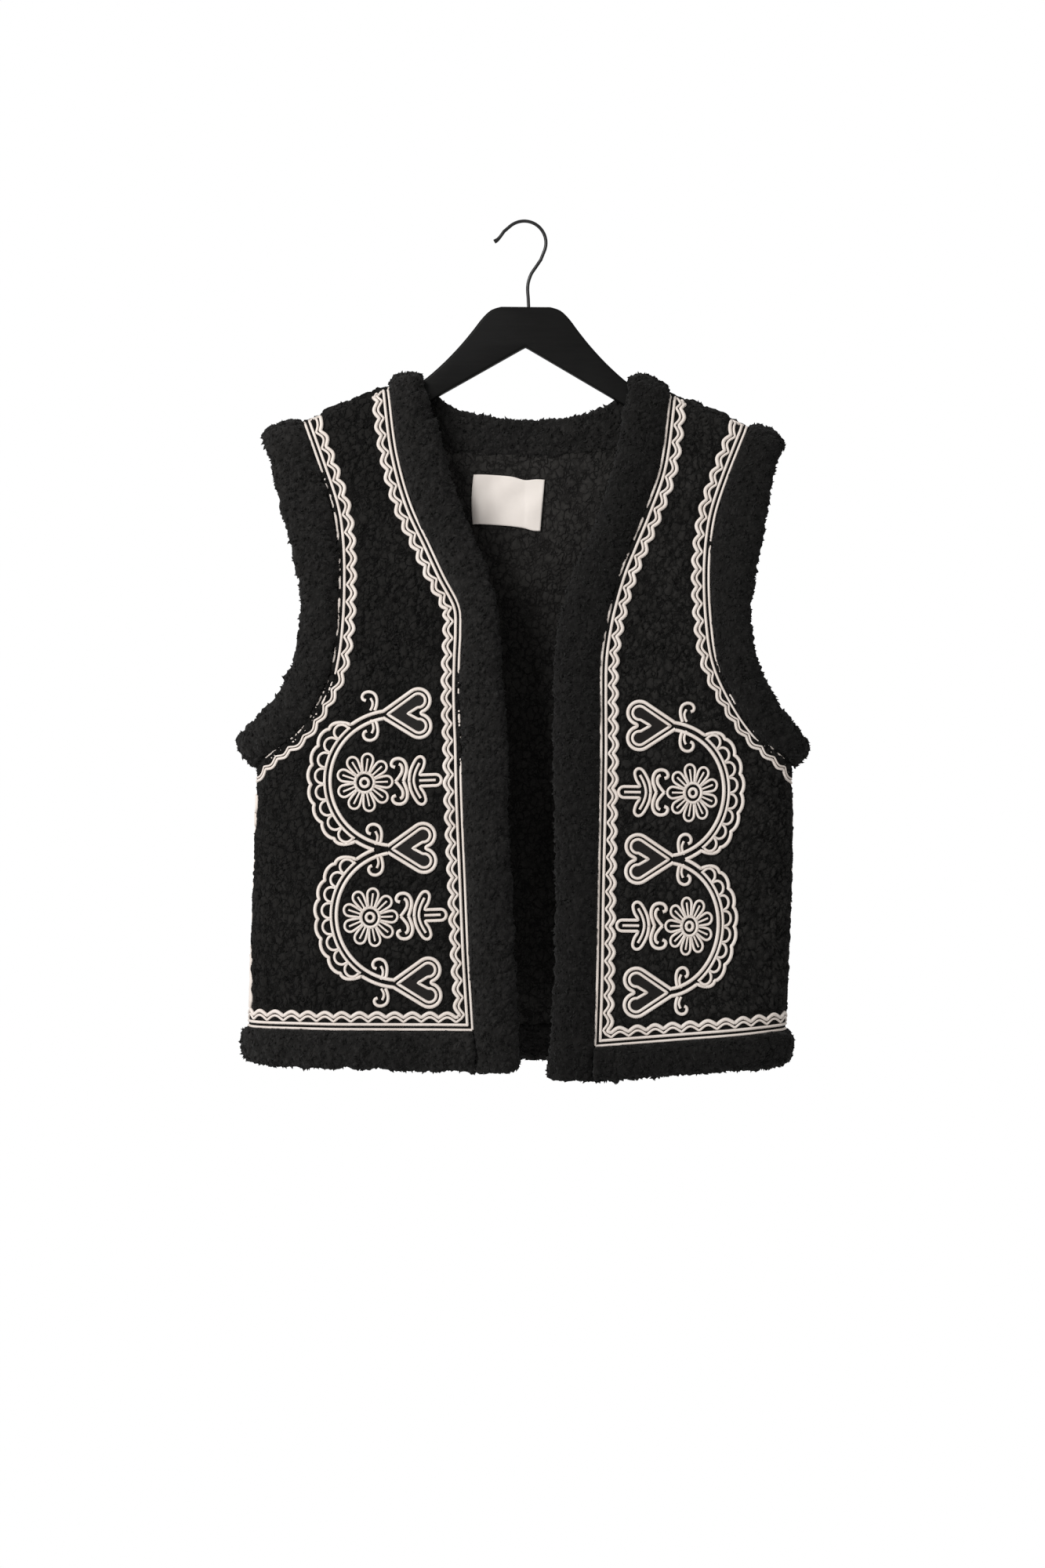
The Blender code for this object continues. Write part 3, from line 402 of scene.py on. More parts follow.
def clothDepth(x, z, face):
    below = ridgeHeight(x) - z
    if below <= 0:
        return 0.0
    across = min(1.0, abs(x) / halfWidth(sideOf(x), z))
    section = (1 - across ** cloth["power"]) ** cloth["root"]
    section = 1 - (1 - section) * ease(below / cloth["flatShoulder"])
    wavy = 0.0
    for topX, hemX, topZ, width, height in waves[face]:
        down = max(0.0, (topZ * mm - z) / ((topZ - cloth["hemHeight"]) * mm))
        centre = (topX + (hemX - topX) * down) * mm
        wavy += height * mm * ease(down * 1.6) * exp(-(((x - centre) / (width * mm)) ** 2))
    shallow = cloth["shoulderDepth"]
    hung = shallow + (cloth["depth"][face] - shallow) * ease(below / cloth["growsOver"])
    turn = 1 - min(1.0, below / cloth["shoulderRound"])
    return (hung + wavy) * section * sqrt(max(0.0, 1 - turn * turn))


def clothNormal(x, z, face, step=0.4 * mm):
    outward = -1 if x < 0 else 1
    here = clothDepth(x, z, face)
    slopeX = (here - clothDepth(x - outward * step, z, face)) / step * outward
    slopeZ = (here - clothDepth(x, z - step, face)) / step
    return Vector((-slopeX, faces[face], -slopeZ)).normalized()


def seamPoint(side, column, position):
    x, z = curveThrough([row[column : column + 2] for row in seams[side]], position)
    if column == 2 and position < underarmRow:
        x = halfWidth(side, z * mm) / mm
    return sides[side] * x * mm, z * mm


@cache
def girthTable(side, level):
    # the way round the cloth at one height: how far walked from the middle, x, and front or back
    z = level * mm
    reach = halfWidth(side, z)
    steps = 40
    table, walked, before = [], 0.0, None
    for face, k in [("front", k) for k in range(steps + 1)] + [("back", k) for k in range(steps, -1, -1)]:
        x = sides[side] * reach * sin(pi / 2 * k / steps)
        here = Vector((x, faces[face] * clothDepth(x, z, face)))
        walked += (here - (before or here)).length
        table.append((walked, x, face))
        before = here
    return table


def fromGirth(side, girth, z):
    table = girthTable(side, round(z / mm))
    for (g0, x0, _), (g1, x1, face) in zip(table, table[1:]):
        if girth <= g1:
            return x0 + (x1 - x0) * (girth - g0) / max(g1 - g0, 1e-9), face
    return table[-1][1:]


def toGirth(side, x, z, face="front"):
    table = [row for row in girthTable(side, round(z / mm)) if row[2] == face]
    if face == "back":
        table = table[::-1]
    for (g0, x0, _), (g1, x1, _) in zip(table, table[1:]):
        if abs(x) <= abs(x1):
            return g0 + (g1 - g0) * (abs(x) - abs(x0)) / max(abs(x1) - abs(x0), 1e-9)
    return table[-1][0]


# Cloth pieces start as merged copies of the frame's nodes, rounded and cut fine enough for the pile
def mergedCopy(node):
    bm = editable(nodes[node].data.copy())
    bmesh.ops.remove_doubles(bm, verts=bm.verts, dist=0.02 * mm)
    bmesh.ops.join_triangles(bm, faces=bm.faces, angle_face_threshold=radians(60),
                             angle_shape_threshold=radians(70))
    return bm


def appliedMesh(obj):
    graph = bpy.context.evaluated_depsgraph_get()
    mesh = bpy.data.meshes.new_from_object(obj.evaluated_get(graph))
    old = obj.data
    bpy.data.objects.remove(obj)
    bpy.data.batch_remove([old])
    return mesh


def editable(mesh):
    bm = bmesh.new()
    bm.from_mesh(mesh)
    bpy.data.meshes.remove(mesh)
    return bm


def roundedCopy(node, crease=0.8):
    bm = mergedCopy(node)
    layer = bm.edges.layers.float.get("crease_edge") or bm.edges.layers.float.new("crease_edge")
    for edge in bm.edges:
        if edge.calc_face_angle(0.0) > radians(55):
            edge[layer] = crease
    obj = addPiece("rounding", bm, curlyPile)
    smoother = obj.modifiers.new("round", "SUBSURF")
    smoother.levels = smoother.render_levels = 2
    return editable(appliedMesh(obj))


def cutLong(bm, limit, rounds=4, gridFill=True):
    for _ in range(rounds):
        long = [e for e in bm.edges if e.calc_length() > limit(e)]
        if not long:
            break
        bmesh.ops.subdivide_edges(bm, edges=long, cuts=1, use_grid_fill=gridFill, use_single_edge=True)
        bm.normal_update()
    bmesh.ops.triangulate(bm, faces=bm.faces)


panels = {  # faces is the way each looks in y, fine and coarse its cells outside and inside, crown in mm
    "front_left": {"faces": -1, "fine": 1.75 * mm, "coarse": 4.5 * mm, "flat": (0.225, 0.58), "area": 0.084,
                   "napAndShade": 0.4, "crown": 3.0},
    "front_right": {"faces": -1, "fine": 1.75 * mm, "coarse": 4.5 * mm, "flat": (0.205, 0.585), "area": 0.078,
                    "napAndShade": 0.66, "crown": 0.5},
    "back": {"faces": 1, "fine": 2.6 * mm, "coarse": 4.4 * mm, "flat": (0.53, 0.575), "area": 0.231,
             "napAndShade": 0.4, "crown": 3.0},
}
diagonal = 1.42  # an edge is cut where it is longer than this many cells
skins = {}
corners, faceLists = [], []
for node, cut in panels.items():
    bm = roundedCopy(node)

    def limit(edge, cut=cut, node=node):
        place = (edge.verts[0].co + edge.verts[1].co) / 2
        seenThroughNeck = node == "back" and abs(place.x) < 0.13 and place.z > -0.46
        isOutside = edge.verts[0].normal.y * cut["faces"] > -0.2
        return diagonal * (cut["fine"] if isOutside or seenThroughNeck else cut["coarse"])

    cutLong(bm, limit)
    skins[node] = bm
    faceLists += [[v.index + len(corners) for v in f.verts] for f in bm.faces]
    corners += [v.co.copy() for v in bm.verts]
    print("panel", node, len(bm.faces), "triangles")
shell = BVHTree.FromPolygons(corners, faceLists)


def onCloth(x, z, face, out):
    normal = clothNormal(x, z, face)
    point = Vector((x, faces[face] * clothDepth(x, z, face), z))
    hit = shell.ray_cast(point + normal * 6 * mm, -normal, 9 * mm)[0]
    return (hit or point) + normal * out


ridgeClear = 0.6 * mm


def onSide(side):
    def lay(place, out):
        x, face = fromGirth(side, place[0], place[1])
        return onCloth(x, min(place[1], ridgeHeight(x) - ridgeClear), face, out)
    return lay


def onBack(place, out):
    x, z = place
    return onCloth(x, min(z, ridgeHeight(x) - ridgeClear), "back", out)


# Sewn cords: each is a route on the unrolled cloth, lifted onto it and swept as a curve
sewn = []  # every point of every cord, to press the pile down beside them


def walkedAlong(spots):
    walked = [0.0]
    for a, b in zip(spots, spots[1:]):
        walked.append(walked[-1] + (b - a).length)
    return walked


def spacedAlong(route, walked, count):
    made, k = [], 0
    for n in range(count + 1):
        target = walked[-1] * n / count
        while k < len(route) - 2 and walked[k + 1] < target:
            k += 1
        share = (target - walked[k]) / max(walked[k + 1] - walked[k], 1e-12)
        made.append(route[k].lerp(route[k + 1], min(1.0, share)))
    return made


def rounded(points, count=10):
    return [Vector(curveThrough(points, k / count)) for k in range((len(points) - 1) * count + 1)]


def drawnIn(place, tight):
    # the share of its full width that a braid has at a place
    if not tight:
        return 1.0
    wide, narrow, share = tight
    return 1 - (1 - share) * ease((wide - place.y / mm) / (wide - narrow))


def newCurve(name, **settings):
    curve = bpy.data.curves.new(name, "CURVE")
    for key, value in settings.items():
        setattr(curve, key, value)
    return curve


def drawLine(curve, spots, closed=False):
    line = curve.splines.new("POLY")
    line.points.add(len(spots) - 1)
    line.use_cyclic_u = closed
    for point, spot in zip(line.points, spots):
        point.co = (*spot, 1)
    return line


def sewCords(name, node, cords, lay):
    curve = newCurve(name, dimensions="3D", bevel_depth=1.0, bevel_resolution=2, use_fill_caps=True)
    tree = KDTree(sum(len(cord["route"]) for cord in cords))
    lengths = []
    for cord in cords:
        sunk = [sunkAt(place, cord.get("spans", ())) for place in cord["route"]]
        spots = [lay(place, cord["lift"] - braid["sink"] * s) for place, s in zip(cord["route"], sunk)]
        line = drawLine(curve, spots, cord.get("closed", False))
        for k, spot in enumerate(spots):
            line.points[k].radius = cord["width"] / 2 * drawnIn(cord["route"][k], cord.get("tight"))
            tree.insert(spot, len(lengths) + k)
            sewn.append((spot, cord["width"] / 2 - braid["overgrown"] * sunk[k]))
        lengths += walkedAlong(spots)
    tree.balance()
    mesh = appliedMesh(linked(name, curve))
    mesh.materials.clear()
    mesh.materials.append(creamCord)
    mesh.shade_smooth()
    along = mesh.attributes.new("along", "FLOAT", "POINT")
    along.data.foreach_set("value", [lengths[tree.find(v.co)[1]] for v in mesh.vertices])
    dress(linked(name, mesh), node)


braid = {
    "outer": {"offset": 0.9 * mm, "width": 2.4 * mm},
    "inner": {"offset": 5.3 * mm, "width": 2.6 * mm},
    "wave": {"offset": 7.6 * mm, "width": 2.2 * mm, "swing": 4.2 * mm},
    "edge": {"offset": 11.5 * mm, "width": 3.4 * mm, "swing": 4.0 * mm},
    "pitch": 15.3 * mm,
    "lift": 1.5 * mm,  # less half a cord's width, so that wide cords lie flatter
    "step": 1.25 * mm,
    "sink": 1.5 * mm,  # how deep a cord goes where pile hides it, and how much narrower its parting gets
    "overgrown": 3.0 * mm,
}


def sunkAt(place, spans):
    # 0 to 1 where the pile grows over a cord between the given heights, here and there
    deepest = 0.0
    for low, high, thick in spans:
        inside = min(place.y / mm - low, high - place.y / mm)
        if inside > 0:
            patchy = ease((noise.noise(Vector((place.x * 30, place.y * 70, 1.7))) + thick) / 0.7)
            deepest = max(deepest, ease(inside / 14) * patchy)
    return deepest


def sewBraid(name, node, route, lay, turn, covered=(), innerCovered=(), startCut=0.0, tight=None):
    # covered are the heights where pile hides the outer cord, and innerCovered the inner one; startCut is 1 where
    # the braid turns a corner into another one; tight is the heights, in mm, between which it draws together, and
    # its share of the width there
    walked = walkedAlong([lay(p, 0.0) for p in route])
    total = walked[-1]
    count = round(total / braid["step"])
    bumps = max(1, round(total / braid["pitch"]))
    places = spacedAlong(route, walked, count)
    cords = []
    for line in ("outer", "inner", "wave", "edge"):
        own = braid[line]
        made = []
        for n, place in enumerate(places):
            tangent = (places[min(n + 2, count)] - places[max(n - 2, 0)]).normalized()
            offset = own["offset"]
            if "swing" in own:
                phase = abs(sin(pi * bumps * n / count))
                offset += own["swing"] * (0.75 * phase + 0.25 * phase * phase)
            if total * n / count >= startCut * (offset - own["width"] * 0.2):
                offset *= drawnIn(place, tight)
                made.append(place + Vector((-tangent.y, tangent.x)) * turn * offset)
        if "swing" not in own:  # a straight cord needs only every other point
            made = made[::2] + ([made[-1]] if len(made) % 2 == 0 else [])
        cords.append({"route": made, "width": own["width"], "lift": braid["lift"] - own["width"] / 4,
                      "spans": {"outer": covered, "inner": innerCovered}.get(line, ()), "tight": tight})
    sewCords(name, node, cords, lay)


def seamPlace(side, column, position, face="front"):
    x, z = seamPoint(side, column, position)
    return Vector((toGirth(side, x, z, face), z))


underPile = {  # heights in mm, from the photograph, where pile covers a cord, and how thickly
    "left": {"front": [(-505, -388, 0.55)], "armhole": [(-540, -215, 0.55)], "armholeInner": [(-540, -395, 0.75)]},
    "right": {"front": [(-400, -245, 0.55)], "armhole": [(-540, -380, 0.6), (-300, -270, 0.55)],
              "armholeInner": [(-540, -455, 0.75)]},
}
sideBraid = {  # how far behind the side's line it runs, in mm, at its ends and between two heights
    "left": {"ends": 6.0, "middle": 16.5, "low": -690, "high": -500},
    "right": {"ends": 16.5, "middle": 16.5, "low": -712, "high": -500},
    "ease": 50,
}


def sewBorders(side):
    lay = onSide(side)
    top = ridgeRow - 0.006
    route = [seamPlace(side, 0, p) for p in between(hemRow, top, 120)]
    sewBraid(f"braid_front_{side}", f"border_front_{side}", route, lay, -1, underPile[side]["front"], startCut=1)
    x0, z0 = seamPoint(side, 0, hemRow)
    x1, z1 = seamPoint(side, 2, hemRow)
    hem = []
    for share in between(0.0, 0.997, 60):
        x = x0 + (x1 - x0) * sin(share * pi / 2)
        z = z0 + (z1 - z0) * (x - x0) / (x1 - x0)
        hem.append(Vector((toGirth(side, x, z), z)))
    sewBraid(f"braid_hem_{side}", f"border_hem_front_{side}", hem, lay, 1, startCut=1)
    low = z1 + 18 * mm
    high = seamPoint(side, 2, underarmRow)[1] - 24 * mm
    own = sideBraid[side]
    route = []
    for z in between(low, high, 40):
        inside = ease(min(z / mm - own["low"], own["high"] - z / mm) / sideBraid["ease"])
        back = own["ends"] + (own["middle"] - own["ends"]) * inside
        route.append(Vector((toGirth(side, sides[side] * halfWidth(side, z), z) + back * mm, z)))
    sewBraid(f"braid_side_{side}", f"border_side_{side}", route, lay, 1)

    up = between(underarmRow, top, 100)
    route = [seamPlace(side, 2, p) for p in reversed(up)]
    sideGirth = route[-1].x
    route += [seamPlace(side, 2, p, "back") for p in up[1:]]
    for place in route:  # the braid dips a little under the arm
        place.y -= 5 * mm * max(0.0, 1 - abs(place.x - sideGirth) / (30 * mm))
    sewBraid(f"braid_armhole_{side}", f"border_armhole_{side}", route, lay, -1, underPile[side]["armhole"],
             innerCovered=underPile[side]["armholeInner"], tight=(-370, -450, 0.78))


def sewBackBorders():
    neck = [(x * mm, z * mm) for x, z in backNeck]
    for end in (0, -1):
        neck[end] = (neck[end][0], ridgeHeight(neck[end][0]))
    route = [Vector(curveThrough(neck, s)) for s in between(0.02, len(neck) - 1.02, 100)]
    sewBraid("braid_back_neck", "border_back_neck", route, onBack, -1)
    (leftX, leftZ), (rightX, rightZ) = seamPoint("left", 2, hemRow), seamPoint("right", 2, hemRow)
    route = []
    for angle in between(-84, 84, 90):
        x = (-leftX if angle < 0 else rightX) * sin(radians(angle))
        route.append(Vector((x, leftZ + (rightZ - leftZ) * (x - leftX) / (rightX - leftX))))
    sewBraid("braid_back_hem", "border_hem_back", route, onBack, 1)


for side in sides:
    sewBorders(side)
sewBackBorders()
print("braids sewn")


# Embroidered sprays. A motif's own drawing has x towards the front edge and y up, in mm,
# from the tip of the middle heart. "outward" is how wide the outer part comes out at the upper and lower vine.
halfway = Vector((0, 60.25))  # from the middle heart's tip to the height of the upper daisy
spray = {
    "left": {"girth": 119.8 * mm, "height": -560.5 * mm, "lean": 2.1, "rise": 0.9875, "outward": (1.0, 0.975)},
    "right": {"girth": 128.6 * mm, "height": -569.5 * mm, "lean": 0.7, "rise": 0.977, "outward": (0.9, 0.83)},
}
motif = {"heartSpacing": 120.5, "vinesApart": 118.5, "wide": 3.2 * mm, "narrow": 2.6 * mm, "lift": 0.85 * mm,
         "step": 1.2}


def turned(angle, radius):
    return Vector((radius * cos(radians(angle)), radius * sin(radians(angle))))


def sprayLay(side):
    lay = onSide(side)
    lean = radians(spray[side]["lean"])

    def place(point, out):
        x, y = point[0], point[1] * spray[side]["rise"]
        if x < 0:
            upper, lower = spray[side]["outward"]
            x *= (upper + lower) / 2 + (upper - lower) * y / motif["vinesApart"]
        toward = x * cos(lean) - y * sin(lean)
        up = x * sin(lean) + y * cos(lean)
        return lay(Vector((spray[side]["girth"] - toward * mm, spray[side]["height"] + up * mm)), out)
    return place


def stroke(points, width, closed=False):
    points = [*points, points[0]] if closed else points
    walked = walkedAlong(points)
    route = spacedAlong(points, walked, max(2, round(walked[-1] / motif["step"])))
    return {"route": route[:-1] if closed else route, "width": width, "lift": motif["lift"], "closed": closed}


heart = {"lobe": Vector((29.5, 11.4)), "outer": 10.5, "inner": 6.2, "outerTip": -6.3, "innerTip": 1.9,
         "stemAt": -2.2, "notch": 31.2, "innerNotch": 19.9}


def lobePath(radius, tip, endAngle):
    toCentre = heart["lobe"] - Vector((tip, 0))
    slope = atan2(toCentre.y, toCentre.x) + asin(radius / toCentre.length)
    touch = degrees(slope) + 90
    return slope, [heart["lobe"] + turned(a, radius) for a in between(touch, endAngle, 16)]


def mirrorY(points):
    return [Vector((p[0], -p[1])) for p in points]


def heartCords():
    # the cords, and the inner one's outline for the satin inside it
    slope, upper = lobePath(heart["outer"], heart["outerTip"], -72)
    start = Vector((heart["stemAt"], (heart["stemAt"] - heart["outerTip"]) * tan(slope)))
    half = [start, *upper, Vector((heart["notch"], 0))]
    _, lower = lobePath(heart["inner"], heart["innerTip"], -97)
    inner = [Vector((heart["innerTip"], 0)), *lower, Vector((heart["innerNotch"], 0))]
    inner += mirrorY(inner[-2:0:-1])
    return [stroke(half + mirrorY(half[-2::-1]), motif["wide"]), stroke(inner, motif["narrow"], closed=True)], inner


def curlCords(height, flip):
    # one crozier that grows from a stem beside a heart's tip
    path = rounded([(-9.2, 4.2), (-7.5, 9.5), (-7.1, 15.5), (-9.0, 20.4), (-13.4, 22.7), (-17.8, 21.7),
                    (-19.9, 18.4), (-19.2, 15.4), (-16.8, 14.2)])
    leaf = rounded([(-13.2, 4.4), (-11.4, 8.0), (-10.9, 12.2), (-12.6, 16.4)])
    height *= -1 if flip else 1
    drawn = ((path, 2.9), (leaf, 2.3))
    return [stroke([Vector((p.x, height * p.y)) for p in line], width * mm) for line, width in drawn]


vine = {"centre": halfway + Vector((6, 0)), "inner": 57.2, "ring": 62.3, "stem": 63.7, "moons": 8,
        "from": 128, "to": 232, "moonHeight": 8.6, "cusp": 12.0, "crest": 14.9}


def vineAt(angle, radius):
    return vine["centre"] + turned(angle, radius)


def vineCords(openTop, openBottom):
    # openTop and openBottom are True where the outer stem runs on to its own heart, False where two vines meet
    first, last, moons = vine["from"], vine["to"], vine["moons"]
    cords = [stroke([vineAt(a, vine["inner"]) for a in between(98.3, 261.7, 60)], motif["wide"]),
             stroke([vineAt(a, vine["ring"]) for a in between(first - 1, last + 1, 50)], 2.5 * mm)]
    for k in range(moons):
        moon = []
        for t in between(0.0, 1.0, 14):
            angle = first + (last - first) / moons * (k + 0.5 - 0.47 * cos(pi * t))
            moon.append(vineAt(angle, vine["ring"] + vine["moonHeight"] * sin(pi * t) ** 0.85))
        cords.append(stroke(moon, 2.4 * mm))
    scallops = []
    for t in between(0.0, moons, moons * 14):
        out = vine["cusp"] + (vine["crest"] - vine["cusp"]) * abs(sin(pi * t)) ** 0.7
        out *= min(1.0, 0.06 + 0.94 * sin(pi / 2 * min(1.0, min(t, moons - t) / 1.2)) ** 0.75)
        scallops.append(vineAt(first - 3 + (last - first + 6) * t / moons, vine["stem"] + out - 1.2))
    meet = degrees(acos(vine["centre"].y / vine["stem"]))
    stems = []
    for isOpen, sign in ((openTop, 1), (openBottom, -1)):
        end = 97.2 if isOpen else 90 + meet
        stems.append([vineAt(180 + sign * (a - 180), vine["stem"]) for a in between(end, first - 2.6, 14)])
    return [*cords, stroke(stems[0] + scallops + stems[1][::-1], motif["wide"])]


daisy = {"centre": halfway - Vector((20.5, 0)), "petals": 9, "halfWidth": 5.0, "tipAt": 19.7, "ring": 8.5,
         "eye": 3.6, "tall": 1.05}


def daisyCords():
    # each petal is its own loop from the ring, so that two cords lie side by side between petals
    step = 360 / daisy["petals"]
    tip = Vector((daisy["tipAt"], 0))
    flank = [Vector(p) for p in ((9.0, 2.95), (12.0, 3.65), (14.5, 4.15), (17.5, 4.75))]
    petal = mirrorY(flank) + [tip + turned(a, daisy["halfWidth"]) for a in between(-90, 90, 12)] + flank[::-1]
    drawn = []
    for k in range(daisy["petals"]):
        turn = Matrix.Rotation(radians(k * step), 2)
        drawn += [([turn @ p for p in petal], 2.3, False), ([turned(k * step, r) for r in (9.4, 20.6)], 1.8, False)]
    for radius, width in ((daisy["ring"], 2.9), (daisy["eye"], 2.8)):
        drawn.append(([turned(a, radius) for a in between(0, 350, 35)], width, True))
    return [stroke([daisy["centre"] + Vector((p.x, p.y * daisy["tall"])) for p in line], width * mm, closed)
            for line, width, closed in drawn]


def scrollCords():
    curl = rounded([(13.9, 0), (15.6, 4.6), (17.0, 9.5), (16.8, 14.5), (14.6, 18.6), (10.6, 20.4), (6.2, 19.6),
                    (3.9, 16.7), (4.2, 13.9), (6.8, 12.6)])
    back = rounded([(6.9, 0), (9.8, 3.5), (12.6, 7.8), (13.2, 11.5), (12.2, 14.4), (10.4, 15.4)])
    drawn = ((curl, 3.1), (back, 2.9), (mirrorY(curl), 3.1), (mirrorY(back), 2.9))
    return [stroke([p + halfway for p in line], width * mm) for line, width in drawn]


def tulipCords():
    arm = rounded([(18.9, 0), (20.0, 7.5), (22.8, 14.5), (26.6, 20.2), (30.6, 21.2), (33.2, 17.8), (32.0, 11.8),
                   (29.4, 7.4)])
    end = Vector((42.4, 0))
    upper = [*arm, Vector((28.4, 5.0)), Vector((36.0, 5.0)), *(end + turned(a, 5.0) for a in between(90, 0, 8))]
    spoke = rounded([(28.6, 15.6), (24.8, 8.0), (23.1, 0), (24.8, -8.0), (28.6, -15.6)])
    outline, centre = upper + mirrorY(upper[-2:0:-1]), [Vector((27.8, 0)), end]
    drawn = ((outline, 2.8, True), (spoke, 2.4, False), (centre, 2.4, False))
    return [stroke([p + halfway for p in line], width * mm, closed) for line, width, closed in drawn]


def shifted(cords, up):
    return [{**cord, "route": [p + Vector((0, up)) for p in cord["route"]]} for cord in cords]


def sewSatin(name, outline, lay, up):
    bm = bmesh.new()
    bm.faces.new([bm.verts.new((p.x, p.y + up, 0)) for p in outline])
    bmesh.ops.triangulate(bm, faces=bm.faces)
    cutLong(bm, lambda edge: 2.4, rounds=5, gridFill=False)
    centre = Vector((26, up))
    for vert in bm.verts:
        flat = Vector((vert.co.x, vert.co.y))
        dome = max(0.0, 1 - (flat - centre).length / 19)
        vert.co = lay(flat, (0.55 + 0.5 * dome) * mm)
        sewn.append((vert.co.copy(), 1.8 * mm))
    faceFront(bm)
    dress(addPiece(name, bm, blackSatin))


for side in sides:
    lay = sprayLay(side)
    drawn, inner = heartCords()
    for place, step in (("top", 1), ("middle", 0), ("low", -1)):
        up = step * motif["heartSpacing"]
        croziers = curlCords(0.92 if place == "top" else 1.0, False)
        croziers += curlCords(0.85 if place == "low" else 1.0, True)
        sewCords(f"heart_cords_{place}_{side}", f"heart_{place}_{side}", shifted(drawn + croziers, up), lay)
        sewSatin(f"heart_satin_{place}_{side}", inner, lay, up)
    for place, up in (("upper", 0.0), ("lower", -motif["heartSpacing"])):
        for kind, cords in (("vine", vineCords(place == "upper", place == "lower")), ("daisy", daisyCords()),
                            ("scroll", scrollCords()), ("tulip", tulipCords())):
            sewCords(f"{kind}_cords_{place}_{side}", f"{kind}_{place}_{side}", shifted(cords, up), lay)
print("sprays sewn:", len(sewn), "points")


# Pile: the fine skins are raised in curls, pressed flat beside the sewing
beside = KDTree(len(sewn))
for k, (spot, _) in enumerate(sewn):
    beside.insert(spot, k)
beside.balance()
behindLabel = {"x": -15.5 * mm, "z": -249 * mm, "halfWidth": 34 * mm, "halfHeight": 27 * mm, "free": 0.1}


def tuftShapes():
    # a few bent, tapered locks of yarn, a unit long, that are repeated all over the pile
    shapes = []
    for bend in (0.25, 0.4, 0.55):
        bm = bmesh.new()
        bmesh.ops.create_cone(bm, cap_ends=False, segments=3, radius1=0.45, radius2=0.0001, depth=1.0)
        bmesh.ops.subdivide_edges(bm, edges=[e for e in bm.edges if abs(e.verts[0].co.z - e.verts[1].co.z) > 0.5],
                                  cuts=1)
        bmesh.ops.remove_doubles(bm, verts=bm.verts, dist=0.001)
        for vert in bm.verts:
            up = vert.co.z + 0.5
            swell = 1 + 1.4 * up
            vert.co = Vector((vert.co.x * swell + bend * up * up, vert.co.y * swell, up - 0.35))
        bmesh.ops.triangulate(bm, faces=bm.faces)
        shapes.append(([v.co.copy() for v in bm.verts], [[v.index for v in f.verts] for f in bm.faces]))
        bm.free()
    return shapes


tuftKinds = tuftShapes()


def addTufts(name, spots, look, material):
    # short locks that lean out of the pile, so that its outline is fuzzy
    points, corners, napAndShade = [], [], []
    for spot, normal in spots:
        lean = (normal + look["tangle"] * Vector([random.uniform(-1, 1) for _ in range(3)])).normalized()
        size = random.uniform(0.5, 1.2)
        turn = (Matrix.Translation(spot) @ lean.to_track_quat("Z", "Y").to_matrix().to_4x4()
                @ Matrix.Rotation(random.uniform(0, 2 * pi), 4, "Z")
                @ Matrix.Diagonal((look["thick"] * size, look["thick"] * size, look["tuft"] * size, 1)))
        shade = random.uniform(0.45, 0.85)
        shape, faceList = random.choice(tuftKinds)
        base = len(points)
        points += [turn @ p for p in shape]
        # painted shade: each lock is darker towards its root, down in the pile
        napAndShade += [shade * (0.55 + 0.45 * max(0.0, min(1.0, p.z + 0.3))) for p in shape]
        corners += [[base + k for k in f] for f in faceList]
    mesh = bpy.data.meshes.new(name)
    mesh.from_pydata(points, [], corners)
    mesh.materials.append(material)
    mesh.shade_smooth()
    mesh.attributes.new("napAndShade", "FLOAT", "POINT").data.foreach_set("value", napAndShade)
    obj = linked(name, mesh)
    dress(obj)
    return obj


def raiseGroup(look):
    group = bpy.data.node_groups.new("raise pile", "GeometryNodeTree")
    for way in ("INPUT", "OUTPUT"):
        group.interface.new_socket(name="Geometry", in_out=way, socket_type="NodeSocketGeometry")
    start, end = group.nodes.new("NodeGroupInput"), group.nodes.new("NodeGroupOutput")
    place = addNode(group, "InputPosition", family="GeometryNode").outputs[0]
    normal = addNode(group, "InputNormal", family="GeometryNode").outputs[0]
    free, crown = (addNode(group, "InputNamedAttribute", {"Name": name}, family="GeometryNode",
                           data_type="FLOAT").outputs[0] for name in ("free", "crown"))
    total = plus(times(curls(place, look)[0], look["swell"] * mm), look["base"] * mm)
    for key, scale, detail in (("lumps", 55.0, 1.0), ("wisps", 380.0, 2.0)):
        high = look[key] * mm
        total = plus(total, mapped(clouds(place, scale, detail), 0.3, 0.7, -high, high))
    total = times(plus(total, times(crown, mm)), free)
    push = addNode(group, "VectorMath", {0: normal, "Scale": total}, operation="SCALE").outputs[0]
    moved = addNode(group, "SetPosition", {"Geometry": start.outputs[0], "Offset": push}, family="GeometryNode")
    group.links.new(moved.outputs[0], end.inputs[0])
    return group


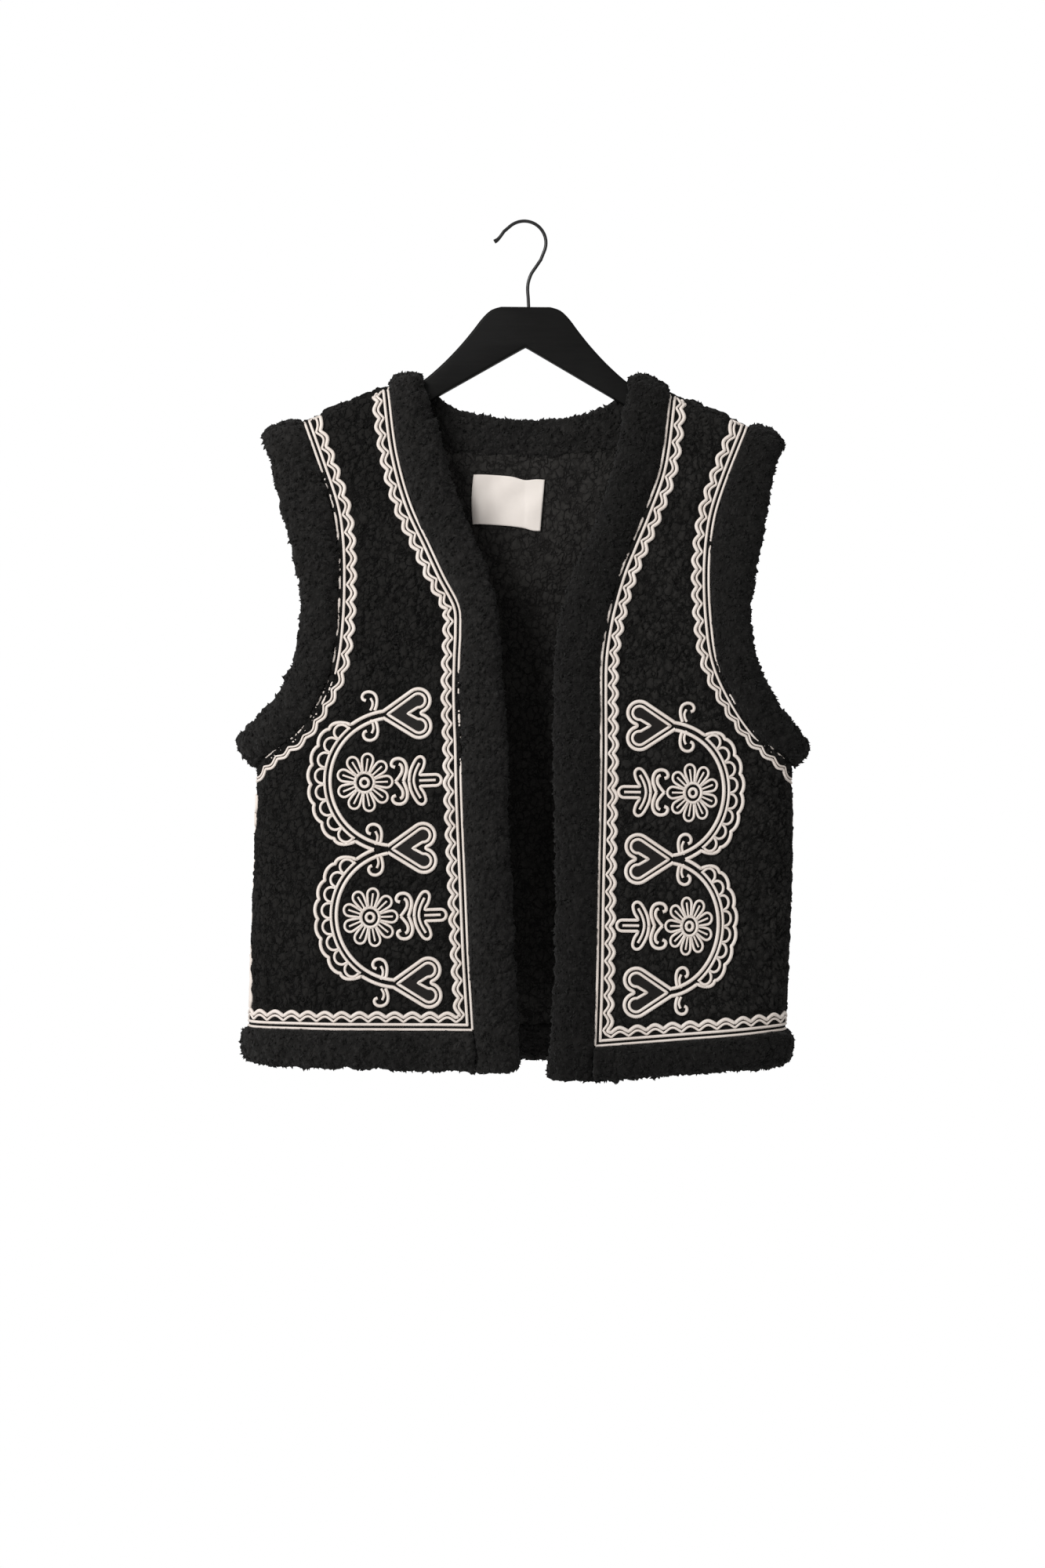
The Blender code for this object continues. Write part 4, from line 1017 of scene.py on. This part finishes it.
def raisePile(name, node, bm, material, look):
    bm.normal_update()
    layers = {key: bm.verts.layers.float.new(key) for key in ("free", "napAndShade", "crown")}
    for vert in bm.verts:
        _, k, distance = beside.find(vert.co)
        free = ease((distance - sewn[k][1] - 0.2 * mm) / look["freeOver"])
        isInner = vert.normal.y * look["faces"] < -0.1
        vert[layers["napAndShade"]] = 1.0 if isInner else free * look["napAndShade"]
        if isInner:
            free = look["inner"]
            across, up = abs(vert.co.x - behindLabel["x"]), abs(vert.co.z - behindLabel["z"])
            if node == "back" and across < behindLabel["halfWidth"] and up < behindLabel["halfHeight"]:
                free = behindLabel["free"]
        vert[layers["free"]] = 0.1 + 0.9 * free
        vert[layers["crown"]] = look["crown"] * ease(1 - (ridgeHeight(vert.co.x) - vert.co.z) / (14 * mm))
    raw = addPiece(name + "_raw", bm, material)
    raw.modifiers.new("raise pile", "NODES").node_group = raiseGroup(look)
    mesh = appliedMesh(raw)
    mesh.name = name
    mesh.shade_smooth()
    obj = linked(name, mesh)
    dress(obj, node)

    spots, cell = [], look["tuftSpacing"] * look["tuftSpacing"]
    for face in mesh.polygons:
        if random.random() < face.area / cell and face.normal.y * look["faces"] >= -0.3:
            _, k, distance = beside.find(face.center)
            if distance > sewn[k][1] + 3.5 * mm:
                spots.append((face.center.copy(), face.normal.copy()))
    tufts = addTufts("tufts_" + node, spots, look, material)
    print("pile on", node, len(mesh.polygons), "faces and", len(spots), "tufts")
    return obj, tufts


panelPile = {**curly, "freeOver": 4.0 * mm, "base": -0.1, "swell": 2.9, "lumps": 0.5, "wisps": 0.25, "inner": 0.45,
             "tuftSpacing": 8.0 * mm, "tuft": 2.8 * mm, "thick": 2.2 * mm, "tangle": 0.8}
for node, cut in panels.items():
    obj, tufts = raisePile(f"cloth_{node}", node, skins[node], curlyPile, {**panelPile, **cut})

bandPile = {**brushed, "freeOver": 1.6 * mm, "base": 0.1, "swell": 2.6, "lumps": 1.3, "wisps": 0.5, "inner": 1.0,
            "faces": 0, "crown": 0, "tuftSpacing": 4.4 * mm, "tuft": 3.6 * mm, "thick": 2.6 * mm, "tangle": 0.9}
bands = {  # the size of a band's cells, in mm, and how light its nap is; the right-hand bands are darker, for their mirrored nap and as painted shade away from the lamp on the left
    "front_band_left": (2.2, 0.9), "front_band_right": (2.2, 0.38), "back_neck_band": (2.2, 0.9),
    "armhole_band_left": (2.3, 0.9), "armhole_band_right": (2.3, 0.38),
    "hem_band_front_left": (2.1, 0.9), "hem_band_front_right": (2.1, 0.38), "hem_band_back": (3.0, 0.9),
}
for node, (spacing, napAndShade) in bands.items():
    bm = roundedCopy(node, crease=0.6)
    cutLong(bm, lambda edge: diagonal * (spacing * mm))
    obj, _ = raisePile("puffy_" + node, node, bm, brushedPile, {**bandPile, "napAndShade": napAndShade})
print("pile raised")


# The neck label: a soft woven square with a rounded fold down its left and a dip in its top edge
label = {
    "corners": (Vector((-47.0, -224.5)), Vector((17.0, -229.0)), Vector((13.0, -274.5)), Vector((-48.0, -269.0))),
    "cut": (0.063, 0.05), "columns": 42, "rows": 33, "thickness": 0.35 * mm, "foldWidth": 0.11,
}


def sewLabel():
    pile = bpy.data.objects["cloth_back"].data
    behind = BVHTree.FromPolygons([v.co for v in pile.vertices], [p.vertices[:] for p in pile.polygons])
    bm = bmesh.new()
    grid = bmesh.ops.create_grid(bm, x_segments=label["columns"], y_segments=label["rows"], size=0.5)
    topLeft, topRight, lowRight, lowLeft = label["corners"]
    off = 0.0
    for vert in grid["verts"]:
        u, v = vert.co.x + 0.5, vert.co.y + 0.5
        place = lowLeft.lerp(lowRight, u).lerp(topLeft.lerp(topRight, u), v)
        place.y += v * (1.6 * sin(pi * u) * (1 - u) - 2.0 * exp(-(((u - 0.72) / 0.12) ** 2)))
        place.y += (1 - v) * (1.5 * sin(pi * u) - 1.2 * exp(-(((u - 0.9) / 0.1) ** 2)))
        place.x -= 1.4 * sin(pi * v) * (1 - u)
        soft = 1.5 * exp(-(((u - 0.1 - 0.05 * v) / label["foldWidth"]) ** 2)) * (1.25 - v)
        soft -= 0.9 * exp(-(((u - 0.0) / 0.05) ** 2))
        soft += 0.55 * sin(7.5 * u + 2.4 * v) + 0.35 * sin(11 * u - 6 * v + 1.0)
        soft += 0.5 * noise.noise(Vector((u * 4, v * 3, 0.3)))
        x, z = place.x * mm, place.y * mm
        depth = clothDepth(x, z, "back")
        hit = behind.ray_cast(Vector((x, -0.02, z)), Vector((0, 1, 0)))[0]
        off = max(off, depth - hit.y)
        vert.co = Vector((x, depth - max(0.0, 0.6 + soft) * mm, z))
    bmesh.ops.translate(bm, verts=bm.verts, vec=(0, -off - label["thickness"], 0))
    faceFront(bm)
    obj = addPiece("woven_label", bm, labelSatin)
    wall = obj.modifiers.new("weave thickness", "SOLIDIFY")
    wall.thickness = label["thickness"]
    wall.offset = 0
    dress(obj, "neck_label")


sewLabel()
print("label sewn")


# Hanger and hook: the wooden bar's outline with softly rounded rims, and a bent wire with a flared tip
hanger = {
    "thickness": 12.0 * mm, "rim": 2.5 * mm, "tilt": 0.5, "cutsBetween": 3,
    "top": ((0, -76), (22, -76), (31, -79), (39, -86.5), (47, -97), (58, -110.5), (72, -125.5), (88, -140),
            (98, -146.5), (110, -153), (130, -161.6), (170, -178), (204, -191.9), (211, -196)),
    "under": ((213, -201), (210, -206.5), (204, -208), (150, -189.5), (104, -171), (76, -155.5), (3, -113.5),
              (0, -112)),
}
hook = {
    "wire": 1.5 * mm, "loop": 19.5 * mm, "centreX": -1.5 * mm, "turn": (-24, 129.6),
    "neck": ((2.1, -67), (1.6, -60), (2.2, -53.5), (4.8, -46), (9.2, -39.4), (13.4, -33.2)),
    "tip": ((-19.6, -7.8), (-22.6, -12.0), (-25.2, -15.0), (-28.2, -17.0)),
    "tipSwell": 1.35, "stemX": 2.5 * mm, "stemFoot": -101.7 * mm,
}


def shapeHanger():
    count = hanger["cutsBetween"]
    soft = [*hanger["top"][1:], *hanger["under"][:-2]]
    spots = [Vector(hanger["top"][0])]
    spots += [Vector(curveThrough(soft, k / count)) for k in range((len(soft) - 1) * count + 1)]
    spots += [Vector(p) for p in hanger["under"][-2:]]
    left = [Vector((-p.x, p.y)) for p in reversed(spots[1:-1])]
    pivot = Vector((0, 0, hanger["top"][0][1]))
    tilt = Matrix.Rotation(radians(hanger["tilt"]), 3, "Y")
    outline = [(pivot + tilt @ (Vector((p.x, 0, p.y)) - pivot)) * mm for p in [*spots, *left]]
    rim = hanger["rim"]
    curve = newCurve("wooden_hanger", dimensions="2D", fill_mode="BOTH", extrude=hanger["thickness"] / 2 - rim,
                     bevel_depth=rim, bevel_resolution=4, offset=-rim)
    drawLine(curve, [(p.x, p.z, 0) for p in outline], closed=True)
    bm = editable(appliedMesh(linked("wooden_hanger", curve)))
    bmesh.ops.remove_doubles(bm, verts=bm.verts, dist=0.01 * mm)
    bmesh.ops.rotate(bm, verts=bm.verts, matrix=Matrix.Rotation(pi / 2, 3, "X"))
    bmesh.ops.recalc_face_normals(bm, faces=bm.faces)
    obj = addPiece("wooden_hanger", bm, lacquer)
    obj.data.set_sharp_from_angle(angle=radians(40))
    dress(obj, "hanger")


def bendHook():
    centre = Vector((hook["centreX"], hook["wire"] - hook["loop"]))
    path = [Vector((hook["stemX"], hook["stemFoot"])), Vector((hook["stemX"], hanger["top"][0][1] * mm))]
    path += rounded([Vector(p) * mm for p in hook["neck"]], count=4)
    path += [centre + turned(a, hook["loop"]) for a in between(*hook["turn"], 48)]
    path += rounded([Vector(p) * mm for p in hook["tip"]], count=4)
    curve = newCurve("wire_hook", dimensions="3D", bevel_depth=hook["wire"], bevel_resolution=6, use_fill_caps=True)
    line = drawLine(curve, [(p.x, 0, p.y) for p in path])
    for k, point in enumerate(line.points):
        nearTip = ease((k - len(path) + 8) / 7)
        point.radius = 1 + (hook["tipSwell"] - 1) * nearTip
    mesh = appliedMesh(linked("wire_hook", curve))
    mesh.materials.clear()
    mesh.materials.append(wirePaint)
    mesh.shade_smooth()
    mesh.set_sharp_from_angle(angle=radians(50))
    dress(linked("wire_hook", mesh), "hook")


shapeHanger()
bendHook()
print("hanger and hook shaped")

triangles = {o.name: sum(len(f.vertices) - 2 for f in o.data.polygons)
             for o in bpy.context.scene.objects if o.type == "MESH" and o.visible_get() and o.name not in nodes}
print("triangles:", sum(triangles.values()), "largest:", max(triangles.items(), key=lambda row: row[1]))
